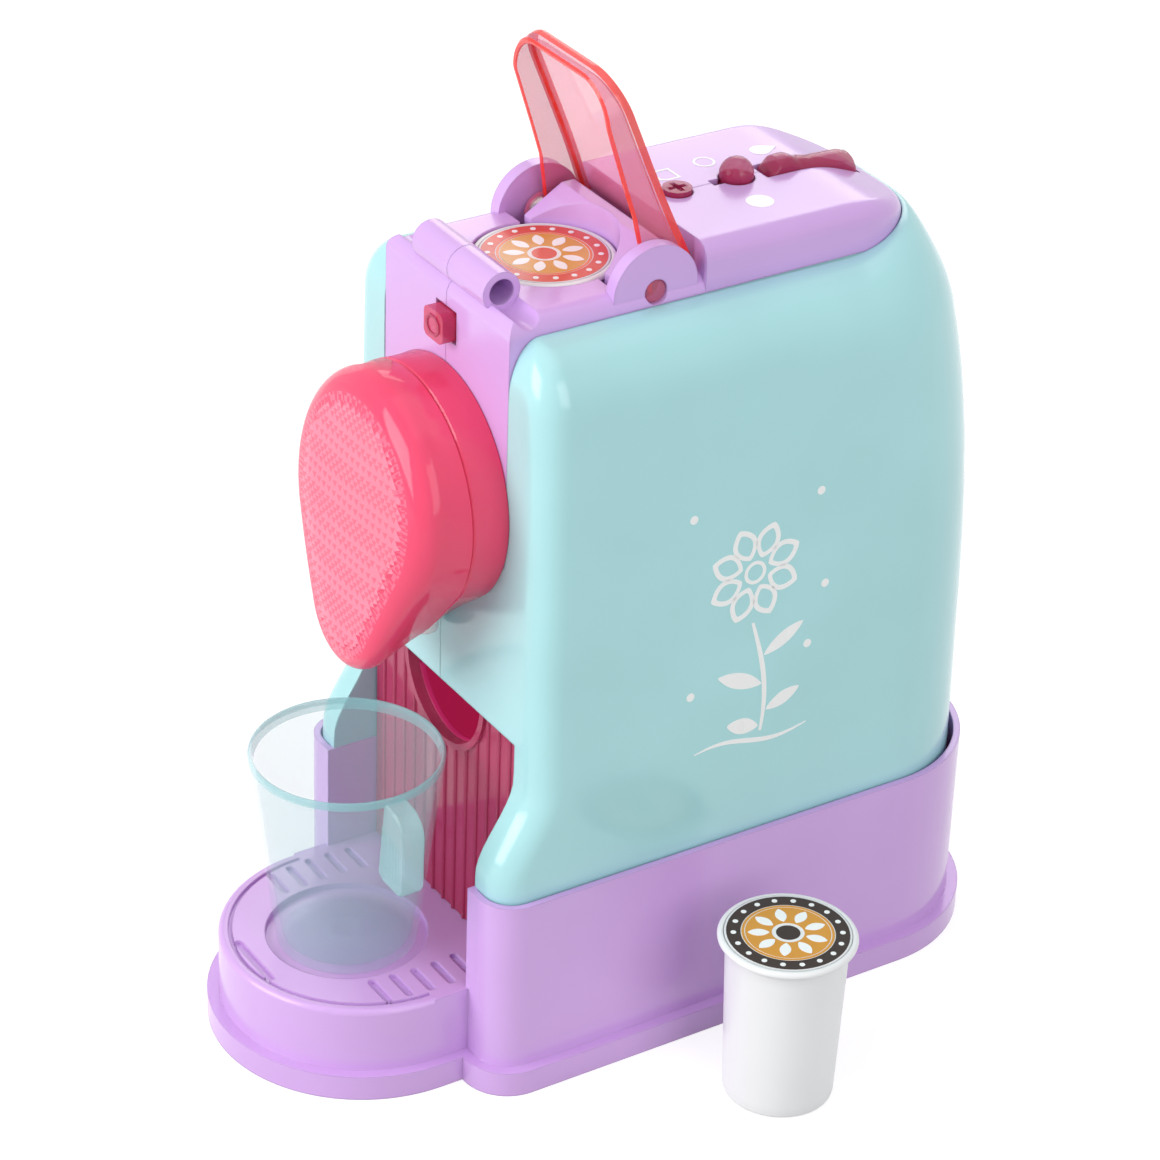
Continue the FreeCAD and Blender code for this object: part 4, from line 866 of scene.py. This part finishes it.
def cup_profile(bottom, top, radius):
    """The cup's section: under the foot, up outside, over the rim, down inside and over the raised middle."""
    foot, rim, wall = CUP_FOOT, CUP_RIM, CUP_WALL

    def side(part, inset=0.0):
        height = bottom + part * (top - bottom)
        return radius(height) - inset, height

    profile = [(0.0, bottom + 0.5 * MM), (foot - 3.5 * MM, bottom + 0.5 * MM), (foot - 2.6 * MM, bottom),
               (foot - 1.3 * MM, bottom), (foot - 0.4 * MM, bottom + 0.4 * MM),
               (radius(bottom + 1.4 * MM), bottom + 1.4 * MM)]
    profile += [side(part) for part in (0.2, 0.4, 0.6, 0.8, 0.962)]
    profile += [(rim - 0.1 * MM, top - 0.8 * MM), (rim - 0.4 * MM, top - 0.15 * MM), (rim - 0.75 * MM, top),
                (rim - 1.2 * MM, top - 0.15 * MM), (rim - wall, top - 0.8 * MM)]
    profile += [side(part, wall) for part in (0.95, 0.8, 0.6, 0.4, 0.2)]
    profile += [(foot - wall, bottom + 3.6 * MM), (foot - wall - 0.6 * MM, bottom + 2.4 * MM),
                (foot - wall - 1.8 * MM, bottom + 2.0 * MM), (6.5 * MM, bottom + 2.0 * MM),
                (5.6 * MM, bottom + 2.8 * MM), (4.4 * MM, bottom + 3.0 * MM), (3.2 * MM, bottom + 2.3 * MM),
                (0.0, bottom + 2.1 * MM)]
    return profile


def cup():
    """The clear cup, with a deeper tone at its rim, and its handle."""
    low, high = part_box("cup")
    centre = (0.0, (low[1] + high[1]) / 2)
    bottom, top = low[2], high[2]

    def radius(height):
        return CUP_FOOT + (CUP_RIM - CUP_FOOT) * (height - bottom) / (top - bottom)

    points, faces = lathe(cup_profile(bottom, top, radius), centre, CUP_STEPS)
    made = add_piece("cup_clear", points, faces, "teal", "cup", second="teal_rim",
                     pick=lambda middle: int(middle.z > top - 2.4 * MM))
    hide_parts("cup")
    cup_tab(centre[1], radius, top, high[0])


def tab_outline(radius, top, reach):
    """The handle's ear shape, from the wall below the rim round to the wall further down."""
    root = -0.9 * MM
    outline = [(radius(top - 1.2 * MM) + root, top - 1.4 * MM), (radius(top) + 1.4 * MM, top - 1.6 * MM)]
    outline += arc((reach - 8.0 * MM, top - 9.4 * MM), 7.8 * MM, 72, 0, 10)
    outline += [(reach - 0.2 * MM, top - 16 * MM), (reach - 0.6 * MM, top - 22 * MM)]
    outline += arc((reach - 3.6 * MM, top - 25 * MM), 2.8 * MM, -4, -80, 6)
    outline.append((radius(top - 27 * MM) + 1.6 * MM, top - 27.6 * MM))
    outline.append((radius(top - 26 * MM) + root, top - 26 * MM))
    return outline


def cup_tab(depth, radius, top, reach):
    """The flat ear-shaped handle, with ribs on the face that looks forward."""
    outline = tab_outline(radius, top, reach)
    count = len(outline)
    middle = (sum(x for x, _ in outline) / count, sum(z for _, z in outline) / count)

    def ring(y, inset):
        made = []
        for x, z in outline:
            away = Vector((x - middle[0], z - middle[1]))
            away = away * (1 - inset / away.length)
            made.append((middle[0] + away.x, y, middle[1] + away.y))
        return made

    front, rear, soft = depth - TAB_THICK / 2, depth + TAB_THICK / 2, TAB_SOFT
    points = ring(front, soft) + ring(front + soft, 0.0) + ring(rear - soft, 0.0) + ring(rear, soft)
    add_piece("cup_tab", points, capped_faces(4, count), "teal_tab", "cup")
    for number in range(TAB_RIBS):
        x = radius(top - 20 * MM) + (1.0 + 1.7 * number) * MM
        up, down = top - (9.0 + 0.5 * number) * MM, top - (26.0 - 0.5 * number) * MM
        rib(f"cup_tab_rib_{number}", x, up, down, front)


def rib(name, x, up, down, face):
    """A half-round rib on the tab's front face."""
    radius, steps = 0.55 * MM, 8
    bend = [pi * step / steps for step in range(steps + 1)]
    points = []
    for height, size in ((down, 0.3), (down + 0.5 * MM, 1.0), (up - 0.5 * MM, 1.0), (up, 0.3)):
        points += [(x + radius * size * cos(angle), face + 0.05 * MM - radius * size * sin(angle), height)
                   for angle in bend]
    add_piece(name, points, capped_faces(4, len(bend)), "teal", "cup")


# capsules

CAPSULE_NECK = 17.5 * MM
CAPSULE_FOOT = 15.8 * MM
CAPSULE_WALL = 1.0 * MM
CAPSULE_LIP = 2.2 * MM
CAPSULE_MOUTH = 18.1 * MM
PRINT_RISES = (-0.02 * MM, 0.09 * MM)


def capsule(node, body):
    """A capsule's white shell: a tapered cup with a rolled lip. Returns the spot of its axis."""
    low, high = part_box(node)
    centre = ((low[0] + high[0]) / 2, (low[1] + high[1]) / 2)
    bottom, top = low[2], high[2]
    rim, neck, foot, lip = (high[0] - low[0]) / 2, CAPSULE_NECK, CAPSULE_FOOT, CAPSULE_LIP
    seat, inner_floor = top - 0.6 * MM, bottom + CAPSULE_WALL + 0.4 * MM
    profile = [(0.0, bottom + 0.6 * MM), (foot - 3.0 * MM, bottom + 0.6 * MM), (foot - 2.2 * MM, bottom),
               (foot - 1.1 * MM, bottom), (foot - 0.3 * MM, bottom + 0.4 * MM), (foot, bottom + 1.3 * MM),
               (foot + 0.1 * MM, bottom + 4.0 * MM)]
    profile += [(foot + (neck - foot) * part, bottom + (top - lip - bottom) * part)
                for part in (0.3, 0.6, 0.9)]
    profile += [(neck, top - lip - 0.5 * MM), (neck + 0.3 * MM, top - lip)]
    profile += arc((rim - lip / 2, top - lip / 2), lip / 2, -90, 90, 10)
    profile += [(CAPSULE_MOUTH + 0.05 * MM, top), (CAPSULE_MOUTH, seat),
                (neck - CAPSULE_WALL - 0.6 * MM, seat), (foot - CAPSULE_WALL, inner_floor),
                (0.0, inner_floor)]
    points, faces = lathe(profile, centre)
    made = add_piece(f"{body}_shell", points, faces, "white", body)
    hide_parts(node)
    return centre


def printed(name, shapes, lay, look, body):
    """Flat marks as thin closed solids on a surface: outlines, each with None or a hole of as many spots.
    lay(u, v, rise) gives the place of a spot on the surface."""
    points, faces = [], []
    for outline, hole in shapes:
        start, count = len(points), len(outline)
        for line in (outline, hole) if hole else (outline,):
            faces += band(len(points), len(points) + count, count)
            for rise in PRINT_RISES:
                points += [lay(u, v, rise) for u, v in line]
        if hole:
            inner = start + 2 * count
            faces += band(start, inner, count) + band(start + count, inner + count, count)
        else:
            faces.append(tuple(reversed(range(start, start + count))))
            faces.append(tuple(range(start + count, start + 2 * count)))
    return add_piece(name, points, faces, look, body)


def annulus(centre, outer, inner, steps=64):
    """A flat ring as an outline and a hole."""
    return disc(centre, outer, steps), disc(centre, inner, steps)


def petal(centre, angle, start, end, width, steps=24):
    """A leaf shape that points away from a centre."""
    outline = []
    for step in range(2 * steps):
        part = step / steps if step < steps else 2 - step / steps
        side = width / 2 * sin(pi * part) ** 0.75 * (1 if step < steps else -1)
        along = start + (end - start) * part
        outline.append((centre[0] + along * cos(angle) - side * sin(angle),
                        centre[1] + along * sin(angle) + side * cos(angle)))
    return outline


def ribbon(spine, widths):
    """An outline round a line of spots, as wide as widths says at each."""
    left, right = [], []
    for spot, way, width in zip(spine, ways_along(spine), widths):
        half = width / 2
        left.append((spot[0] - way.y * half, spot[1] + way.x * half))
        right.append((spot[0] + way.y * half, spot[1] - way.x * half))
    return left + right[::-1]


def seal(node, body, centre, field, line, middle):
    """A printed film: a plain rosette in rings. It shows no picture."""
    low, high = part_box(node)
    radius = (high[0] - low[0]) / 2

    def lay(u, v, rise):
        return centre[0] + u, centre[1] + v, high[2] + rise

    def lay_high(u, v, rise):
        return centre[0] + u, centre[1] + v, high[2] + rise + 0.08 * MM

    def mark(part, shapes, lay_on, look):
        printed(f"{body}_seal_{part}", shapes, lay_on, look, body)

    for part, look, outer, inner in (("field", field, radius - 0.6 * MM, radius - 4.6 * MM),
                                     ("line", line, radius - 4.9 * MM, radius - 5.6 * MM),
                                     ("disc", middle, radius - 5.9 * MM, 4.6 * MM)):
        mark(part, [annulus((0, 0), outer, inner)], lay, look)
    rays = [(petal((0, 0), 2 * pi * n / 9, 5.2 * MM, radius - 6.6 * MM, 3.2 * MM), None) for n in range(9)]
    mark("rosette", rays, lay_high, "print_white")
    dots = [(disc(spot, 0.8 * MM, 20), None) for spot in disc((0, 0), radius - 2.6 * MM, 18)]
    mark("dots", dots, lay_high, "print_white")
    mark("heart", [(disc((0, 0), 3.4 * MM), None)], lay, field)


def capsules():
    """Both capsules with their seals."""
    centre = capsule("seated_capsule_cup", "seated_capsule")
    seal("seated_capsule_seal", "seated_capsule", centre, "warm_red", "orange", "amber")
    centre = capsule("loose_capsule_cup", "loose_capsule")
    seal("loose_capsule_seal", "loose_capsule", centre, "brown", "amber", "amber")


# printed marks on the housing

DECK_UP = 238.7 * MM
SHIELD_AT = (-10.5 * MM, 18.4 * MM)
DROP_AT = (-11.9 * MM, 51.0 * MM)
FLOWER_AT = (12 * MM, 146 * MM)
LEAVES = ((8, 30, 16, 4.2), (14, 158, 17, 5.0), (20, 22, 13, 4.2), (23, 165, 12, 5.0))


def top_marks():
    """Plain marks beside the controls: a ring, a disc, a drop and a small outlined shield."""

    def lay(u, v, rise):
        return u, v, DECK_UP + rise

    ring = annulus((-12.6 * MM, 32.7 * MM), 3.2 * MM, 2.5 * MM)
    spot = disc((15.9 * MM, 32.0 * MM), 3.9 * MM)
    drop = [(DROP_AT[0] + x * MM, DROP_AT[1] + y * MM)
            for x, y in [(0.0, 5.4), *arc((0.0, 0.0), 3.0, 152, 388, 20)]]
    printed("top_marks", [ring, (spot, None), (drop, None)], lay, "print_white", "housing")
    corners = [(-3.4, 3.2), (3.4, 3.2), (3.4, -1.2), (2.4, -3.2), (-2.4, -3.2), (-3.4, -1.2)]
    shield, hole = [[(SHIELD_AT[0] + x * size * MM, SHIELD_AT[1] + y * size * MM) for x, y in corners]
                    for size in (1.0, 0.78)]
    printed("top_mark_frame", [(shield, hole)], lay, "print_white", "housing")


def side_marks():
    """A plain flower on a stem, about as large as the print that it stands in for."""

    def lay(u, v, rise):
        return cover_half(v) + rise, u, v

    shapes = []
    for number in range(8):
        angle = 2 * pi * number / 8 + radians(22)
        outer = petal(FLOWER_AT, angle, 4.6 * MM, 15.5 * MM, 8.0 * MM)
        inner = petal(FLOWER_AT, angle, 6.2 * MM, 13.6 * MM, 5.0 * MM)
        shapes.append((outer, inner))
    shapes.append(annulus(FLOWER_AT, 3.6 * MM, 2.5 * MM))
    stem, widths = [], []
    for step in range(25):
        part = step / 24
        stem.append((FLOWER_AT[0] + 5 * MM * sin(part * 2.2), FLOWER_AT[1] - 16 * MM - part * 36 * MM))
        widths.append((0.9 + 0.7 * sin(pi * part)) * MM)
    shapes.append((ribbon(stem, widths), None))
    for along, angle, length, width in LEAVES:
        shapes.append((petal(stem[along], radians(angle), 1.0 * MM, length * MM, width * MM), None))
    for u, v in ((-9, 168), (33, 166), (31, 118), (-8, 112), (36, 136)):
        shapes.append((disc((u * MM, v * MM), 1.3 * MM, 28), None))
    ground = [(x * MM, 92 * MM + 1.5 * MM * sin((x + 8) * 0.16)) for x in range(-6, 33)]
    widths = [0.3 * MM + 1.2 * MM * sin(pi * n / (len(ground) - 1)) for n in range(len(ground))]
    shapes.append((ribbon(ground, widths), None))
    printed("side_marks", shapes, lay, "print_white", "housing")


# controls

ROCKER_STEPS = 60
ROCKER_ACROSS = 16
ROCKER_SHOULDER = 2.6 * MM
ROCKER_CREST = ((0.0, 0.62), (0.05, 0.78), (0.13, 0.90), (0.23, 0.91), (0.40, 0.80), (0.54, 0.755),
                (0.70, 0.745), (0.86, 0.735), (0.95, 0.69), (1.0, 0.55))
BUTTON_UP = 216.5 * MM


def rocker():
    """The rocker: a bump at its front that falls away to a long, nearly level rear."""
    low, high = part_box("rocker")
    half, bottom = (high[0] - low[0]) / 2, low[2]
    points = []
    for step in range(ROCKER_STEPS + 1):
        part = step / ROCKER_STEPS
        y = low[1] + (high[1] - low[1]) * part
        up = bottom + (high[2] - bottom) * from_table(ROCKER_CREST, part, smooth_step)
        wide = half * min(0.72 + 1.6 * sin(pi * part) ** 0.5, 1.0)
        points.append((-wide, y, bottom))
        for turn in range(ROCKER_ACROSS + 1):
            angle = pi * (1 - turn / ROCKER_ACROSS)
            rise = ROCKER_SHOULDER * sin(angle)
            points.append((wide * cos(angle), y, up - ROCKER_SHOULDER + rise))
        points.append((wide, y, bottom))
    faces = capped_faces(ROCKER_STEPS + 1, ROCKER_ACROSS + 3)
    made = add_piece("rocker_wave", points, faces, "red_deep", "rocker", sharp_deg=50.0)
    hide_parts("rocker")


def front_button_face():
    """The raised outline on the front button's face."""
    low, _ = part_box("front_button")
    corners = [(3.4, 1.2), (1.6, 2.9), (-1.6, 2.9), (-3.4, 1.2), (-3.4, -1.2), (-1.6, -2.9), (1.6, -2.9),
               (3.4, -1.2)]

    def lay(u, v, rise):
        return u, low[1] - rise * 4, BUTTON_UP + v

    outer, inner = [[(x * size * MM, z * size * MM) for x, z in corners] for size in (1.0, 0.76)]
    printed("front_button_outline", [(outer, inner)], lay, "red_deep", "front_button")


# stage


def area_light(name, place, aim, size, power):
    """A soft rectangular light that looks at a spot."""
    data = bpy.data.lights.new(name, "AREA")
    data.shape = "RECTANGLE"
    data.size, data.size_y = size
    data.energy = power
    made = linked(name, data)
    made.location = place
    made.rotation_euler = (Vector(aim) - Vector(place)).to_track_quat("-Z", "Y").to_euler()


def white_rays(nodes, links):
    """1 for the camera, glossy and transmission rays, which see plain white, and 0 for all other rays."""
    path = nodes.new("ShaderNodeLightPath")
    seen = path.outputs["Is Camera Ray"]
    for ray in ("Is Glossy Ray", "Is Transmission Ray"):
        larger = nodes.new("ShaderNodeMath")
        larger.operation = "MAXIMUM"
        links.new(seen, larger.inputs[0])
        links.new(path.outputs[ray], larger.inputs[1])
        seen = larger.outputs["Value"]
    return seen


def studio_world():
    """Soft light from all round, behind which the white rays see plain white."""
    world = bpy.data.worlds.new("studio")
    bpy.context.scene.world = world
    world.use_nodes = True
    nodes, links = world.node_tree.nodes, world.node_tree.links
    soft = filled(nodes["Background"], Color=(0.95, 0.97, 1.0, 1.0), Strength=0.55)
    plain = filled(nodes.new("ShaderNodeBackground"), Color=WHITE, Strength=1.0)
    mix = nodes.new("ShaderNodeMixShader")
    links.new(white_rays(nodes, links), mix.inputs["Fac"])
    links.new(soft.outputs["Background"], mix.inputs[1])
    links.new(plain.outputs["Background"], mix.inputs[2])
    links.new(mix.outputs["Shader"], nodes["World Output"].inputs["Surface"])


def floor_look():
    """A matt floor that takes shadows, with a glow for the white rays that lifts it to near white."""
    pale = bpy.data.materials.new("floor_pale")
    pale.use_nodes = True
    nodes, links = pale.node_tree.nodes, pale.node_tree.links
    nodes.remove(nodes["Principled BSDF"])
    matt = filled(nodes.new("ShaderNodeBsdfDiffuse"), Color=(0.5, 0.5, 0.5, 1.0))
    glow = filled(nodes.new("ShaderNodeEmission"), Color=WHITE)
    level = nodes.new("ShaderNodeMath")
    level.operation = "MULTIPLY"
    level.inputs[1].default_value = 0.66
    links.new(white_rays(nodes, links), level.inputs[0])
    links.new(level.outputs["Value"], glow.inputs["Strength"])
    both = nodes.new("ShaderNodeAddShader")
    links.new(matt.outputs["BSDF"], both.inputs[0])
    links.new(glow.outputs["Emission"], both.inputs[1])
    links.new(both.outputs["Shader"], nodes["Material Output"].inputs["Surface"])
    return pale


def stage():
    """The world, the floor and the lights."""
    studio_world()
    half = 3.0
    corners = [(-half, -half, 0), (half, -half, 0), (half, half, 0), (-half, half, 0)]
    mesh = bpy.data.meshes.new("floor")
    mesh.from_pydata(corners, [], [(0, 1, 2, 3)])
    mesh.materials.append(floor_look())
    ground = linked("floor", mesh)
    ground.location = (0, 0, -0.05 * MM)

    middle = (0.0, 0.0, 0.13)
    area_light("key", (-0.25, -1.5, 0.75), middle, (1.1, 1.1), 20.5)
    area_light("side", (1.5, 0.1, 0.85), middle, (0.9, 1.2), 8.0)
    area_light("above", (0.0, 0.1, 1.6), middle, (1.2, 1.2), 3.0)
    area_light("rear", (-1.1, 0.9, 0.9), middle, (0.8, 0.8), 4.0)


def camera():
    """The photo's own view."""
    data = bpy.data.cameras.new("camera")
    data.lens = CAMERA_LENS_MM
    data.sensor_width = 36.0
    made = linked("camera", data)
    forward = Vector(CAMERA_AIM).normalized()
    level = forward.cross(Vector((0, 0, 1))).normalized()
    upright = level.cross(forward)
    roll = radians(CAMERA_ROLL_DEG)
    right = cos(roll) * level + sin(roll) * upright
    up = -sin(roll) * level + cos(roll) * upright
    turn = Matrix((right, up, -forward)).transposed().to_4x4()
    made.matrix_world = Matrix.Translation(CAMERA_PLACE) @ turn
    bpy.context.scene.camera = made


dress_nodes()
covers()
lid()
brew_cover()
brew_ring()
cup()
capsules()
top_marks()
side_marks()
rocker()
front_button_face()
stage()
camera()
bpy.context.scene.view_settings.view_transform = "Standard"
